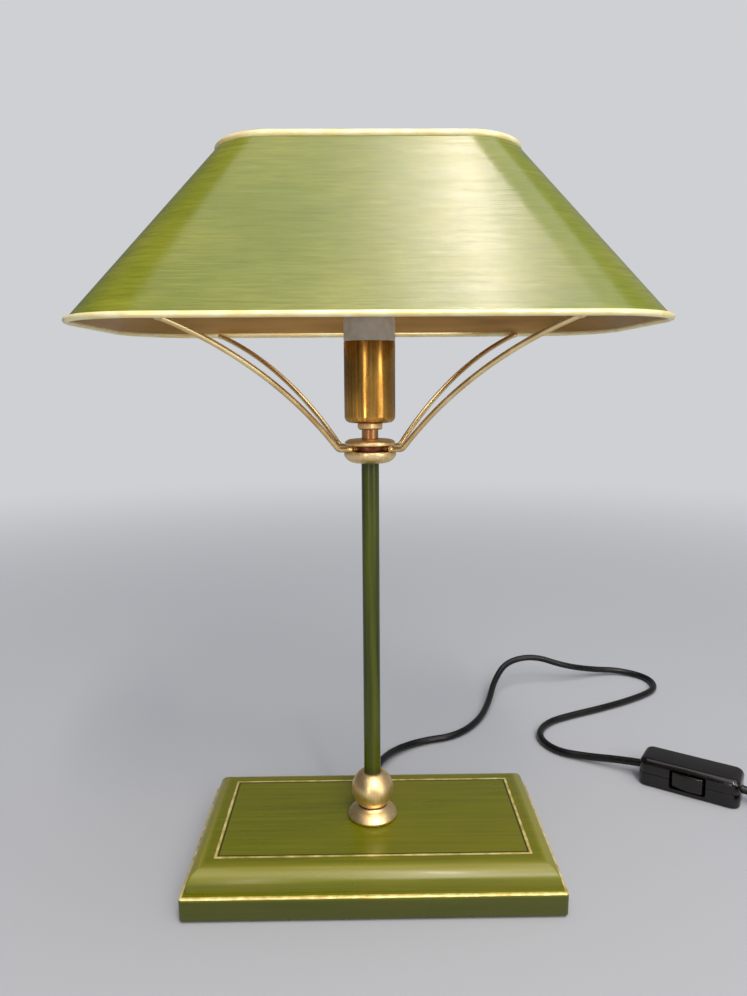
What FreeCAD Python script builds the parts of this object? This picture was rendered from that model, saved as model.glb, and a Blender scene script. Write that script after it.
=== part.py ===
"""Table lamp with an oval sheet-metal shade on a moulded wooden base, in millimetres.

+Z is up, +X is the lamp's right and -Y its front. The origin is at the bottom centre of the
felt under the base. Every piece of the lamp is one node, written to parts/NODE.step.
"""
import FreeCAD, Part
import math
import os

Vec = FreeCAD.Vector

# ---------------------------------------------------------------- driving dimensions
# base board
BASE_W = 212.0            # plinth, left to right
BASE_D = 115.0            # plinth, front to back
FELT_T = 1.0              # felt pad under the base
FELT_INSET = 2.0          # felt edge inside the plinth's edge
PLINTH_TOP = 14.8         # height of the plinth's ledge
PLINTH_CORNER_R = 2.0     # vertical corners of the plinth
PLINTH_EDGE_R = 1.2       # its top and bottom edges
LEDGE_W = 3.5             # flat ledge round the raised block
RISER_H = 4.0             # upright foot of the moulding
OVOLO_W = 10.5            # quarter-ellipse moulding, inwards
OVOLO_H = 8.6             # and upwards
# ballast in the underside
BALLAST_X0 = 22.0         # inner end of each steel plate
BALLAST_SIDE = 14.0       # its outer end to the side of the base
BALLAST_FRONT = 17.5      # its long edges to the front and back of the base
BALLAST_T = 5.0
RECESS_GAP = 0.5          # play round each plate
HEAD_GAP = 0.3            # screw heads above the felt
BALLAST_SCREW_R = 1.8
BALLAST_SCREW_HEAD_R = 3.5
BALLAST_SCREW_HEAD_T = 1.2
BALLAST_SCREW_L = 9.0     # length in the wood
BALLAST_SCREW_EDGE = 12.0 # screw to each end of the plate
# stem and what is threaded on it
STEM_R = 5.0
STEM_WALL = 1.0
STEM_END = 1.0            # thread end past the clamping nut under the base
STEM_END_ABOVE = 1.1      # and past the nut in the lampholder
FIT = 0.05                # radial play of pieces round the stem
WELL_ROOF = 7.4           # wood between the counterbore and the base's top
WELL_PLAY = 2.0           # counterbore round the washer
WASHER_R = 11.0
WASHER_T = 1.2
NUT_LAND = 2.0            # flats of both nuts outside the thread
NUT_T = 3.0
# foot flange and ball
FOOT_R = 15.0
FOOT_SEAT_R = 13.2
FOOT_BULGE_H = 2.2
FOOT_ROLL_IN = 0.5        # rolled edge: how far in and how high its middle lies
FOOT_ROLL_UP = 0.88
FOOT_COVE_IN = 1.6        # the sweep above it, likewise
FOOT_COVE_UP = 2.1
FOOT_NECK_R = 8.6
FOOT_NECK_OUT = 0.8       # taper of the neck
FOOT_NECK_H = 1.2
FOOT_H = 8.3
BALL_R = 12.6
BALL_SEAT_R = 8.1         # flat turned on the underside of the ball
BALL_TOP_LAND = 1.2       # flat at its top, round the stem
# hub that carries the shade
HUB_Z = 244.5             # underside of the dish
DISH_R = 14.8
DISH_FOOT_LAND = 1.8      # flat of its underside, round the stem
DISH_H = 6.5
DISH_RIM_H = 2.4
DISH_EDGE = 0.6
DISH_BELLY_OUT = 5.76     # middle of the belly, from the edge of the flat
DISH_BELLY_UP = 1.23
DISC_R = 14.2
DISC_T = 3.2
DISC_EDGE = 0.5
DISC_ROUND_H = 1.4        # rounding of the upper edge
DISC_ROUND_IN = 1.2
DISC_ROUND_DOWN = 0.5
DISC_CROWN_R = 10.5
LOCKNUT_LAND = 2.8        # outside the thread
LOCKNUT_FLARE = 1.2       # its foot is that much smaller
LOCKNUT_FLARE_H = 1.1
LOCKNUT_EDGE = 0.3
LOCKNUT_T = 3.8
NECK_H = 5.6              # bare thread between disc and locknut
# carrier of the shade
RING_WALL = 5.0           # outside the stem
RING_PLAY = 0.15          # above and below the ring
ARM_R = 1.5
ARM_START = 1.5           # inner end of each arm, outside the stem
ARM_LEVEL = 5.2           # level run past the dish
ARM_BEND_R = 5.0
ARM_RISE = 48.0           # slope after the bend, degrees
ARM_TO_CORNER = 9.1377    # outer end to where the shade's corner starts
ARM_END_DROP = 0.5        # outer end below the middle of the rim
# shade
SHADE_ABOVE_HUB = 74.0    # lowest edge, above the dish's underside
SHADE_H = 90.5
SHADE_W0 = 303.0          # skin at the bottom rim
SHADE_D0 = 158.0
SHADE_R0 = 46.0
SHADE_W1 = 155.0          # skin at the top rim
SHADE_D1 = 88.0
SHADE_R1 = 31.0
SKIN_T = 0.9
RIM_R0 = 1.6              # bead at the bottom
RIM_R1 = 1.9              # bead at the top
# lampholder for a small screw cap
HOLDER_R = 14.3
HOLDER_WALL = 0.8
HOLDER_FLOOR_T = 1.5
HOLDER_EDGE_R = 3.5
HOLDER_SLEEVE_L = 44.8
INSERT_GAP = 0.1
INSERT_COLLAR_STEP = 0.3  # collar inside the sleeve's outside
INSERT_RISE = 8.1         # underside of the insert above that of the sleeve
INSERT_L = 50.0
INSERT_RECESS_R = 9.0
INSERT_RECESS_H = 8.0
SHELL_BORE_R = 7.0
SHELL_WALL = 0.5
SHELL_L = 20.5
SHELL_GAP = 0.5           # below the shell, to the contact
MOUTH_R = 8.6
MOUTH_H = 3.5
CONTACT_R = 3.6
CONTACT_T = 1.0
CONTACT_PIN_R = 1.2
CONTACT_PIN_L = 7.0
TERMINAL_X = 6.5          # centre of each terminal from the axis
TERMINAL_W = 5.0
TERMINAL_H = 12.0
TERMINAL_RISE = 5.0       # above the insert's underside
STRIP_PAST = 1.0          # contact strip past the terminal's middle
TERMINAL_SCREW_R = 1.2
TERMINAL_SCREW_L = 3.5
# cord
CORD_R = 2.8
LEAD_R = 2.2              # inner lead, from the bush to the lampholder
LEAD_Z = 8.0              # height of the lead and of the exit hole
LEAD_BEND_R = 8.5
LEAD_END = 3.5            # past the stem's upper end
CORE_R = 0.9
CORE_X = 1.1
CHANNEL_W = 10.0
CHANNEL_RISE = 5.0        # channel's ceiling above the lead's middle
BACK_WALL = 9.5
BUSH_R = 4.5
BUSH_COLLAR = 1.5         # collar outside the plug of the bush
BUSH_COLLAR_T = 2.0
BUSH_TAPER_L = 20.0
SLEEVE_WALL = 0.4         # thin end of a sleeve round the cord
CLAMP_Y = 30.0
CLAMP_L = 30.0
CLAMP_W = 8.0
CLAMP_T = 2.2
CLAMP_PLAY = 1.0          # pocket round the clamp
PAD_H = 0.7               # pad that presses on the lead
CLAMP_SCREW_X = 11.0
CLAMP_SCREW_R = 1.4
CLAMP_SCREW_HEAD_R = 2.6
CLAMP_SCREW_HEAD_T = 1.4
CLAMP_SCREW_L = 7.0       # length in the wood
PAD_GAP = 0.1             # between the clamp's pad and the lead
# in-line switch
SWITCH_X = 228.3
SWITCH_Y = 71.4
SWITCH_TURN = -33.7       # degrees about Z
SWITCH_L = 67.0
SWITCH_W = 27.0
SWITCH_Z0 = 0.2
SWITCH_H = 20.0
SWITCH_WALL = 2.0
SWITCH_CORNER_R = 5.0
SWITCH_TOP_R = 4.0
SWITCH_BASE_R = 1.0
CORD_HOLE_PLAY = 0.4
ROCKER_L = 21.0
ROCKER_H = 11.0
ROCKER_DEPTH = 7.0        # its back inside the switch's side face
ROCKER_END = 0.2          # its ends inside that face
ROCKER_PROUD = 1.5        # crest of its face outside it
ROCKER_PIN_DEPTH = 4.5
ROCKER_THROW = 14.0       # degrees, from one end to the other
ROCKER_PIN_R = 1.2
ROCKER_PLAY = 1.5         # window round the rocker
PIN_SEAT = 0.8            # depth of the pin in each shell
CONTACT_BLOCK = (10.0, 6.0, 8.0)
CONTACT_BLOCK_END = 16.5  # its middle to the switch's end
CONTACT_BLOCK_SIDE = 10.5 # its near face to the switch's back face
BOSS_END = 8.0            # screw bosses to the switch's ends
BOSS_SIDE = 6.0           # and to its back face
BOSS_R = 3.0
BOSS_SCREW_R = 1.2
BOSS_SCREW_HEAD_R = 2.2
BOSS_SCREW_HEAD_T = 1.4
BOSS_SCREW_TIP = 1.0      # tip below the upper wall
# coil of the length that lies beyond the switch, and the plug
COIL_X = 290.0
COIL_Y = -9.5
COIL_R = 33.0             # at the middle of its turns
COIL_TUBE_R = 8.0
COIL_Z0 = 0.2
PLUG_X = 321.0
PLUG_Y = -52.0            # where the cord enters the plug's sleeve
PLUG_Z = 7.0
PLUG_SLEEVE_L = 18.0
PLUG_SLEEVE_SEAT = 2.0    # sleeve inside the plug
PLUG_SLEEVE_STEP = 0.6    # neck outside the sleeve
PLUG_L = 34.0
PLUG_FLARE_L = 15.3       # widening from the neck
PLUG_W = 27.0
PLUG_NECK_W = 11.0
PLUG_T = 13.6
PLUG_EDGE_R = 2.5
PLUG_PIN_R = 2.0
PLUG_PIN_TIP_R = 1.2
PLUG_PIN_L = 19.0
PLUG_SHANK_R = 1.75       # insulated shank of each pin
PLUG_SHANK_L = 10.0
PLUG_PIN_PITCH = 19.0
PLUG_PIN_SEAT = 6.0

# free cord, from the bush to the switch: points of the route, chosen by hand
ROUNDED_SHARE = 0.45      # of the shorter run at each corner
SWITCH_CORD_Z = SWITCH_Z0 + SWITCH_H / 2
LAMP_SIDE_ROUTE = [
    (0, 79.5, 8), (5, 98, 8), (18, 124, 5), (41, 142.5, 3), (70, 150, 3), (93, 177, 3),
    (107, 211, 4.5), (117, 243, 11), (132, 263.5, 22), (160, 271, 25), (190, 269, 15),
    (221, 279, 7), (249, 284, 4), (272, 267, 3), (270, 240, 3), (244, 220, 3), (209, 201, 3),
    (177, 187, 3), (150, 173, 3), (136, 149, 3), (144, 123, 3), (167, 110.5, 4.5),
    (186, 99.3, 8), (202.5, 88.6, SWITCH_CORD_Z),
]
# from the switch to the coil, and from the coil to the plug
COIL_SIDE_ROUTE = [
    (254.1, 54.2, SWITCH_CORD_Z), (270, 44, 7.5), (288, 31.5, 6), (309, 17, 7.5),
]
PLUG_SIDE_ROUTE = [
    (323, -9, 7.5), (323.6, -24, 5.5), (322.4, -38, 6), (PLUG_X, PLUG_Y, PLUG_Z),
]

# ---------------------------------------------------------------- worked-out sizes
BASE_TOP = PLINTH_TOP + RISER_H + OVOLO_H
BLOCK_W = BASE_W - 2 * LEDGE_W
BLOCK_D = BASE_D - 2 * LEDGE_W
BALLAST_L = BASE_W / 2 - BALLAST_SIDE - BALLAST_X0
BALLAST_D = BASE_D - 2 * BALLAST_FRONT
RECESS_TOP = FELT_T + HEAD_GAP + BALLAST_SCREW_HEAD_T + BALLAST_T
WELL_R = WASHER_R + WELL_PLAY
WELL_TOP = BASE_TOP - WELL_ROOF
WASHER_Z = WELL_TOP - WASHER_T
NUT_ACROSS = 2 * (STEM_R + NUT_LAND)
NUT_Z = WASHER_Z - NUT_T
STEM_BORE_R = STEM_R - STEM_WALL
STEM_Z = NUT_Z - STEM_END
FOOT_TOP = BASE_TOP + FOOT_H
BALL_Z = FOOT_TOP + math.sqrt(BALL_R ** 2 - BALL_SEAT_R ** 2)
BALL_TOP_R = STEM_R + BALL_TOP_LAND
BALL_TOP = BALL_Z + math.sqrt(BALL_R ** 2 - BALL_TOP_R ** 2)
DISH_FOOT_R = STEM_R + DISH_FOOT_LAND
DISH_TOP = HUB_Z + DISH_H
HUB_GAP = 2 * (ARM_R + RING_PLAY)
DISC_Z = DISH_TOP + HUB_GAP
DISC_TOP = DISC_Z + DISC_T
LOCKNUT_Z = DISC_TOP + NECK_H
HOLDER_Z = LOCKNUT_Z + LOCKNUT_T
HOLDER_TOP = HOLDER_Z + HOLDER_SLEEVE_L
LOCKNUT_R = STEM_R + LOCKNUT_LAND
STEM_TOP = HOLDER_Z + HOLDER_FLOOR_T + NUT_T + STEM_END_ABOVE
LEAD_TOP = STEM_TOP + LEAD_END
RING_R = STEM_R + RING_WALL
ARM_Z = DISH_TOP + HUB_GAP / 2
ARM_BEND_AT = DISH_R + ARM_LEVEL
SHADE_Z0 = HUB_Z + SHADE_ABOVE_HUB
RIM_Z0 = SHADE_Z0 + RIM_R0
RIM_Z1 = SHADE_Z0 + SHADE_H - RIM_R1
ARM_END_X = SHADE_W0 / 2 - SHADE_R0 - ARM_TO_CORNER
ARM_END_Y = SHADE_D0 / 2 - RIM_R0 - ARM_R / 2
ARM_AZIMUTH = math.degrees(math.atan2(ARM_END_Y, ARM_END_X))
INSERT_COLLAR_R = HOLDER_R - INSERT_COLLAR_STEP
INSERT_Z0 = HOLDER_Z + INSERT_RISE
INSERT_Z1 = INSERT_Z0 + INSERT_L
SHELL_Z = INSERT_Z1 - MOUTH_H - SHELL_L
CONTACT_Z = SHELL_Z - SHELL_GAP - CONTACT_T
TERMINAL_Z0 = INSERT_Z0 + TERMINAL_RISE
CHANNEL_TOP = LEAD_Z + CHANNEL_RISE
BUSH_COLLAR_R = BUSH_R + BUSH_COLLAR
CLAMP_POCKET_TOP = LEAD_Z - LEAD_R - PAD_GAP - PAD_H
ROCKER_BACK = SWITCH_W / 2 - ROCKER_DEPTH
ROCKER_FACE = SWITCH_W / 2 - ROCKER_END
ROCKER_CREST = SWITCH_W / 2 + ROCKER_PROUD
ROCKER_PIN_Y = SWITCH_W / 2 - ROCKER_PIN_DEPTH
CONTACT_BLOCK_X = SWITCH_L / 2 - CONTACT_BLOCK_END
CONTACT_BLOCK_Y = SWITCH_W / 2 - CONTACT_BLOCK_SIDE
BOSS_X = SWITCH_L / 2 - BOSS_END
BOSS_Y = SWITCH_W / 2 - BOSS_SIDE


# ---------------------------------------------------------------- shapes
SAME = 1e-4               # places closer than this are one


def box(x0, x1, y0, y1, z0, z1):
    return Part.makeBox(x1 - x0, y1 - y0, z1 - z0, Vec(x0, y0, z0))


def rod(r, z0, z1, x=0.0, y=0.0):
    return Part.makeCylinder(r, z1 - z0, Vec(x, y, z0))


def rod_between(r, a, b):
    start = Vec(*a)
    run = Vec(*b) - start
    return Part.makeCylinder(r, run.Length, start, run)


def arc(a, m, b):
    return Part.Arc(Vec(*a), Vec(*m), Vec(*b)).toShape()


def line(a, b):
    return Part.LineSegment(Vec(*a), Vec(*b)).toShape()


def turned(edges):
    """Solid of revolution about Z from an outline of edges in the XZ plane."""
    face = Part.Face(Part.Wire(Part.__sortEdges__(edges)))
    return face.revolve(Vec(0, 0, 0), Vec(0, 0, 1), 360)


def turned_points(points):
    """Solid of revolution from straight edges through (radius, height) points."""
    closed = [Vec(r, 0, z) for r, z in points + points[:1]]
    face = Part.Face(Part.makePolygon(closed))
    return face.revolve(Vec(0, 0, 0), Vec(0, 0, 1), 360)


def hexagon(across, z0, z1):
    corner = across / math.sqrt(3)
    angles = [math.radians(60 * i) for i in range(7)]
    points = [Vec(corner * math.cos(a), corner * math.sin(a), z0) for a in angles]
    return Part.Face(Part.makePolygon(points)).extrude(Vec(0, 0, z1 - z0))


def upright_edges(shape):
    """Edges of a box-like shape that run along Z."""
    return [e for e in shape.Edges if e.BoundBox.ZLength > 0.5 * shape.BoundBox.ZLength]


def level_edges(shape, z):
    """Edges that lie wholly at one height."""
    return [e for e in shape.Edges
            if abs(e.BoundBox.ZMin - z) < SAME and abs(e.BoundBox.ZMax - z) < SAME]


def tip_edges(shape, y):
    """Edges that lie wholly at one distance along Y."""
    return [e for e in shape.Edges
            if abs(e.BoundBox.YMin - y) < SAME and abs(e.BoundBox.YMax - y) < SAME]


def rounded_box(x, y, z0, z1, corner_r):
    """Box centred on Z with rounded upright corners; x and y are its full sizes."""
    plain = box(-x / 2, x / 2, -y / 2, y / 2, z0, z1)
    return plain.makeFillet(corner_r, upright_edges(plain))


def write(name, shape):
    shape.exportStep("parts/" + name + ".step")


# ---------------------------------------------------------------- base
def moulded_prism(width, length):
    """Bar along Y, its cross-section a flat-topped block with a quarter-ellipse each side."""
    half = width / 2
    foot = PLINTH_TOP
    shoulder = foot + RISER_H
    inner = half - OVOLO_W
    ellipse = Part.Ellipse(Vec(inner, shoulder, 0), OVOLO_W, OVOLO_H)
    right = Part.ArcOfEllipse(ellipse, 0, math.pi / 2).toShape()
    left = right.mirror(Vec(0, 0, 0), Vec(1, 0, 0))
    edges = [
        line((-half, foot, 0), (half, foot, 0)),
        line((half, foot, 0), (half, shoulder, 0)),
        right,
        line((inner, BASE_TOP, 0), (-inner, BASE_TOP, 0)),
        left,
        line((-half, shoulder, 0), (-half, foot, 0)),
    ]
    face = Part.Face(Part.Wire(Part.__sortEdges__(edges)))
    bar = face.extrude(Vec(0, 0, length))
    bar.rotate(Vec(0, 0, 0), Vec(1, 0, 0), 90)
    bar.translate(Vec(0, length / 2, 0))
    return bar


def base_block():
    """Raised block: two moulded bars crossed, so that the moulding is mitred at the corners."""
    along_y = moulded_prism(BLOCK_W, BLOCK_D)
    along_x = moulded_prism(BLOCK_D, BLOCK_W)
    along_x.rotate(Vec(0, 0, 0), Vec(0, 0, 1), 90)
    return along_y.common(along_x)


def ballast_recess(side):
    x0 = BALLAST_X0 - RECESS_GAP
    x1 = BALLAST_X0 + BALLAST_L + RECESS_GAP
    y = BALLAST_D / 2 + RECESS_GAP
    low, high = sorted((side * x0, side * x1))
    return box(low, high, -y, y, FELT_T, RECESS_TOP)


def ballast_screw_places():
    near = BALLAST_X0 + BALLAST_SCREW_EDGE
    far = BALLAST_X0 + BALLAST_L - BALLAST_SCREW_EDGE
    return [(side * x, 0.0) for side in (-1, 1) for x in (near, far)]


def clamp_screw_places():
    return [(-CLAMP_SCREW_X, CLAMP_Y), (CLAMP_SCREW_X, CLAMP_Y)]


def base_board():
    plinth = rounded_box(BASE_W, BASE_D, FELT_T, PLINTH_TOP, PLINTH_CORNER_R)
    rims = level_edges(plinth, FELT_T) + level_edges(plinth, PLINTH_TOP)
    plinth = plinth.makeFillet(PLINTH_EDGE_R, rims)
    board = plinth.fuse(base_block()).removeSplitter()
    board = board.cut(rod(STEM_R + FIT, WELL_TOP, BASE_TOP))
    board = board.cut(rod(WELL_R, FELT_T, WELL_TOP))
    for side in (-1, 1):
        board = board.cut(ballast_recess(side))
    for x, y in ballast_screw_places():
        board = board.cut(rod(BALLAST_SCREW_R, RECESS_TOP, RECESS_TOP + BALLAST_SCREW_L, x, y))
    back = BASE_D / 2 - BACK_WALL
    board = board.cut(box(-CHANNEL_W / 2, CHANNEL_W / 2, 0, back, FELT_T, CHANNEL_TOP))
    board = board.cut(rod_between(BUSH_R, (0, back, LEAD_Z), (0, BASE_D / 2, LEAD_Z)))
    half_l = CLAMP_L / 2 + CLAMP_PLAY
    half_w = CLAMP_W / 2 + CLAMP_PLAY
    board = board.cut(box(-half_l, half_l, CLAMP_Y - half_w, CLAMP_Y + half_w, FELT_T,
                          CLAMP_POCKET_TOP))
    for x, y in clamp_screw_places():
        top = CLAMP_POCKET_TOP + CLAMP_SCREW_L
        board = board.cut(rod(CLAMP_SCREW_R, CLAMP_POCKET_TOP, top, x, y))
    return board


def felt_pad():
    return rounded_box(BASE_W - 2 * FELT_INSET, BASE_D - 2 * FELT_INSET, 0, FELT_T,
                       PLINTH_CORNER_R)


def ballast_plate(side):
    low, high = sorted((side * BALLAST_X0, side * (BALLAST_X0 + BALLAST_L)))
    plate = box(low, high, -BALLAST_D / 2, BALLAST_D / 2, RECESS_TOP - BALLAST_T, RECESS_TOP)
    for x, y in ballast_screw_places():
        plate = plate.cut(rod(BALLAST_SCREW_R, FELT_T, RECESS_TOP, x, y))
    return plate


def headed_screw(r, head_r, head_t, seat, tip, x, y):
    """Screw driven upwards: its head lies below the seat and its tip points up."""
    head = rod(head_r, seat - head_t, seat, x, y)
    return head.fuse(rod(r, seat, tip, x, y)).removeSplitter()


def ballast_screws():
    seat = RECESS_TOP - BALLAST_T
    tip = RECESS_TOP + BALLAST_SCREW_L
    return Part.makeCompound([
        headed_screw(BALLAST_SCREW_R, BALLAST_SCREW_HEAD_R, BALLAST_SCREW_HEAD_T, seat, tip, x, y)
        for x, y in ballast_screw_places()])


def cord_bush():
    """Moulded strain relief: a plug in the back wall, a collar and a tapered sleeve."""
    back = BASE_D / 2
    collar_end = back + BUSH_COLLAR_T
    taper_end = collar_end + BUSH_TAPER_L
    plug = rod_between(BUSH_R, (0, back - BACK_WALL, LEAD_Z), (0, back, LEAD_Z))
    collar = rod_between(BUSH_COLLAR_R, (0, back, LEAD_Z), (0, collar_end, LEAD_Z))
    sleeve = Part.makeCone(BUSH_R, CORD_R + SLEEVE_WALL, taper_end - collar_end,
                           Vec(0, collar_end, LEAD_Z), Vec(0, 1, 0))
    return plug.fuse([collar, sleeve]).removeSplitter()


def lead_clamp():
    bar = box(-CLAMP_L / 2, CLAMP_L / 2, CLAMP_Y - CLAMP_W / 2, CLAMP_Y + CLAMP_W / 2,
              CLAMP_POCKET_TOP - CLAMP_T, CLAMP_POCKET_TOP)
    pad_top = CLAMP_POCKET_TOP + PAD_H
    pad = box(-LEAD_R, LEAD_R, CLAMP_Y - CLAMP_W / 2, CLAMP_Y + CLAMP_W / 2,
              CLAMP_POCKET_TOP, pad_top)
    clamp = bar.fuse(pad).removeSplitter()
    for x, y in clamp_screw_places():
        clamp = clamp.cut(rod(CLAMP_SCREW_R, 0, pad_top, x, y))
    return clamp


def lead_clamp_screws():
    seat = CLAMP_POCKET_TOP - CLAMP_T
    tip = CLAMP_POCKET_TOP + CLAMP_SCREW_L
    return Part.makeCompound([
        headed_screw(CLAMP_SCREW_R, CLAMP_SCREW_HEAD_R, CLAMP_SCREW_HEAD_T, seat, tip, x, y)
        for x, y in clamp_screw_places()])


# ---------------------------------------------------------------- stem
def stem_tube():
    return rod(STEM_R, STEM_Z, STEM_TOP).cut(rod(STEM_BORE_R, STEM_Z, STEM_TOP))


def stem_washer():
    return rod(WASHER_R, WASHER_Z, WELL_TOP).cut(rod(STEM_R + FIT, WASHER_Z, WELL_TOP))


def stem_nut():
    return hexagon(NUT_ACROSS, NUT_Z, WASHER_Z).cut(rod(STEM_R, NUT_Z, WASHER_Z))


def foot_flange():
    """Turned saucer: a rolled edge that sweeps up to a narrow seat for the ball."""
    bore = STEM_R + FIT
    bulge_z = BASE_TOP + FOOT_BULGE_H
    shoulder_r = FOOT_NECK_R + FOOT_NECK_OUT
    shoulder_z = FOOT_TOP - FOOT_NECK_H
    mid = (FOOT_R - FOOT_COVE_IN, 0, bulge_z + FOOT_COVE_UP)
    low = (FOOT_R - FOOT_ROLL_IN, 0, BASE_TOP + FOOT_ROLL_UP)
    return turned([
        line((bore, 0, BASE_TOP), (FOOT_SEAT_R, 0, BASE_TOP)),
        arc((FOOT_SEAT_R, 0, BASE_TOP), low, (FOOT_R, 0, bulge_z)),
        arc((FOOT_R, 0, bulge_z), mid, (shoulder_r, 0, shoulder_z)),
        line((shoulder_r, 0, shoulder_z), (FOOT_NECK_R, 0, FOOT_TOP)),
        line((FOOT_NECK_R, 0, FOOT_TOP), (bore, 0, FOOT_TOP)),
        line((bore, 0, FOOT_TOP), (bore, 0, BASE_TOP)),
    ])


def ball_collar():
    ball = Part.makeSphere(BALL_R, Vec(0, 0, BALL_Z))
    ball = ball.common(rod(2 * BALL_R, FOOT_TOP, BALL_TOP))
    return ball.cut(rod(STEM_R + FIT, FOOT_TOP, BALL_TOP))


# ---------------------------------------------------------------- hub and carrier
def hub_dish():
    rim_z = DISH_TOP - DISH_RIM_H
    edge = DISH_EDGE
    belly = (DISH_FOOT_R + DISH_BELLY_OUT, 0, HUB_Z + DISH_BELLY_UP)
    return turned([
        line((STEM_R, 0, HUB_Z), (DISH_FOOT_R, 0, HUB_Z)),
        arc((DISH_FOOT_R, 0, HUB_Z), belly, (DISH_R, 0, rim_z)),
        line((DISH_R, 0, rim_z), (DISH_R, 0, DISH_TOP - edge)),
        line((DISH_R, 0, DISH_TOP - edge), (DISH_R - edge, 0, DISH_TOP)),
        line((DISH_R - edge, 0, DISH_TOP), (STEM_R, 0, DISH_TOP)),
        line((STEM_R, 0, DISH_TOP), (STEM_R, 0, HUB_Z)),
    ])


def hub_disc():
    edge = DISC_EDGE
    round_z = DISC_TOP - DISC_ROUND_H
    crown = (DISC_R - DISC_ROUND_IN, 0, DISC_TOP - DISC_ROUND_DOWN)
    return turned([
        line((STEM_R, 0, DISC_Z), (DISC_R - edge, 0, DISC_Z)),
        line((DISC_R - edge, 0, DISC_Z), (DISC_R, 0, DISC_Z + edge)),
        line((DISC_R, 0, DISC_Z + edge), (DISC_R, 0, round_z)),
        arc((DISC_R, 0, round_z), crown, (DISC_CROWN_R, 0, DISC_TOP)),
        line((DISC_CROWN_R, 0, DISC_TOP), (STEM_R, 0, DISC_TOP)),
        line((STEM_R, 0, DISC_TOP), (STEM_R, 0, DISC_Z)),
    ])


def hub_locknut():
    top = LOCKNUT_Z + LOCKNUT_T
    return turned_points([
        (STEM_R, LOCKNUT_Z), (LOCKNUT_R - LOCKNUT_FLARE, LOCKNUT_Z),
        (LOCKNUT_R, LOCKNUT_Z + LOCKNUT_FLARE_H), (LOCKNUT_R, top - LOCKNUT_EDGE),
        (LOCKNUT_R - LOCKNUT_EDGE, top), (STEM_R, top)])


def arm_path():
    """Centre line of one arm in the XZ plane: level run, short bend, long flattening arc."""
    rise = math.radians(ARM_RISE)
    bend_x = ARM_BEND_AT + ARM_BEND_R * math.sin(rise)
    bend_z = ARM_Z + ARM_BEND_R * (1 - math.cos(rise))
    end_x = math.hypot(ARM_END_X, ARM_END_Y)
    end_z = RIM_Z0 - ARM_END_DROP
    chord = math.atan2(end_z - bend_z, end_x - bend_x)
    fall = 2 * chord - rise
    sweep_r = (end_x - bend_x) / (math.sin(rise) - math.sin(fall))
    half = rise / 2
    bend_mid = (ARM_BEND_AT + ARM_BEND_R * math.sin(half), 0,
                ARM_Z + ARM_BEND_R * (1 - math.cos(half)))
    middle = (rise + fall) / 2
    sweep_mid = (bend_x + sweep_r * (math.sin(rise) - math.sin(middle)), 0,
                 bend_z + sweep_r * (math.cos(middle) - math.cos(rise)))
    return Part.Wire([
        line((STEM_R + ARM_START, 0, ARM_Z), (ARM_BEND_AT, 0, ARM_Z)),
        arc((ARM_BEND_AT, 0, ARM_Z), bend_mid, (bend_x, 0, bend_z)),
        arc((bend_x, 0, bend_z), sweep_mid, (end_x, 0, end_z)),
    ])


def carrier_arm(azimuth):
    start = Part.Circle(Vec(STEM_R + ARM_START, 0, ARM_Z), Vec(1, 0, 0), ARM_R).toShape()
    arm = arm_path().makePipeShell([Part.Wire(start)], True, True)
    arm.rotate(Vec(0, 0, 0), Vec(0, 0, 1), azimuth)
    return arm


def carrier_arms():
    return {
        "carrier_arm_front_left": carrier_arm(180 + ARM_AZIMUTH),
        "carrier_arm_front_right": carrier_arm(-ARM_AZIMUTH),
        "carrier_arm_back_left": carrier_arm(180 - ARM_AZIMUTH),
        "carrier_arm_back_right": carrier_arm(ARM_AZIMUTH),
    }


def carrier_ring(arms):
    low = DISH_TOP + RING_PLAY
    high = DISC_Z - RING_PLAY
    ring = rod(RING_R, low, high).cut(rod(STEM_R + FIT, low, high))
    for arm in arms.values():
        ring = ring.cut(arm)
    return ring


# ---------------------------------------------------------------- shade
def shade_outline(z, inwards):
    """Rounded-rectangle outline of the shade's skin at a height, moved inwards."""
    share = (z - RIM_Z0) / (RIM_Z1 - RIM_Z0)
    half_w = (SHADE_W0 + share * (SHADE_W1 - SHADE_W0)) / 2 - inwards
    half_d = (SHADE_D0 + share * (SHADE_D1 - SHADE_D0)) / 2 - inwards
    r = SHADE_R0 + share * (SHADE_R1 - SHADE_R0) - inwards
    edges = []
    for quarter in range(4):
        turn = math.pi / 2 * quarter
        sx = 1 if quarter in (0, 3) else -1
        sy = 1 if quarter in (0, 1) else -1
        centre = (sx * (half_w - r), sy * (half_d - r))
        points = [(centre[0] + r * math.cos(turn + a), centre[1] + r * math.sin(turn + a), z)
                  for a in (0, math.pi / 4, math.pi / 2)]
        if edges:
            previous = edges[-1].valueAt(edges[-1].LastParameter)
            edges.append(Part.LineSegment(previous, Vec(*points[0])).toShape())
        edges.append(arc(*points))
    last = edges[-1].valueAt(edges[-1].LastParameter)
    first = edges[0].valueAt(edges[0].FirstParameter)
    edges.append(Part.LineSegment(last, first).toShape())
    return Part.Wire(edges)


def shade_rim(z, r):
    path = shade_outline(z, SKIN_T / 2)
    start = path.Edges[0].valueAt(path.Edges[0].FirstParameter)
    section = Part.Wire(Part.Circle(start, Vec(0, 1, 0), r).toShape())
    return path.makePipeShell([section], True, True)


def shade_skin(top_rim, bottom_rim):
    outer = Part.makeLoft([shade_outline(RIM_Z0, 0), shade_outline(RIM_Z1, 0)], True, True)
    past = 5.0
    inner = Part.makeLoft([shade_outline(RIM_Z0 - past, SKIN_T),
                           shade_outline(RIM_Z1 + past, SKIN_T)], True, True)
    return outer.cut(inner).cut(top_rim).cut(bottom_rim)


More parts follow.
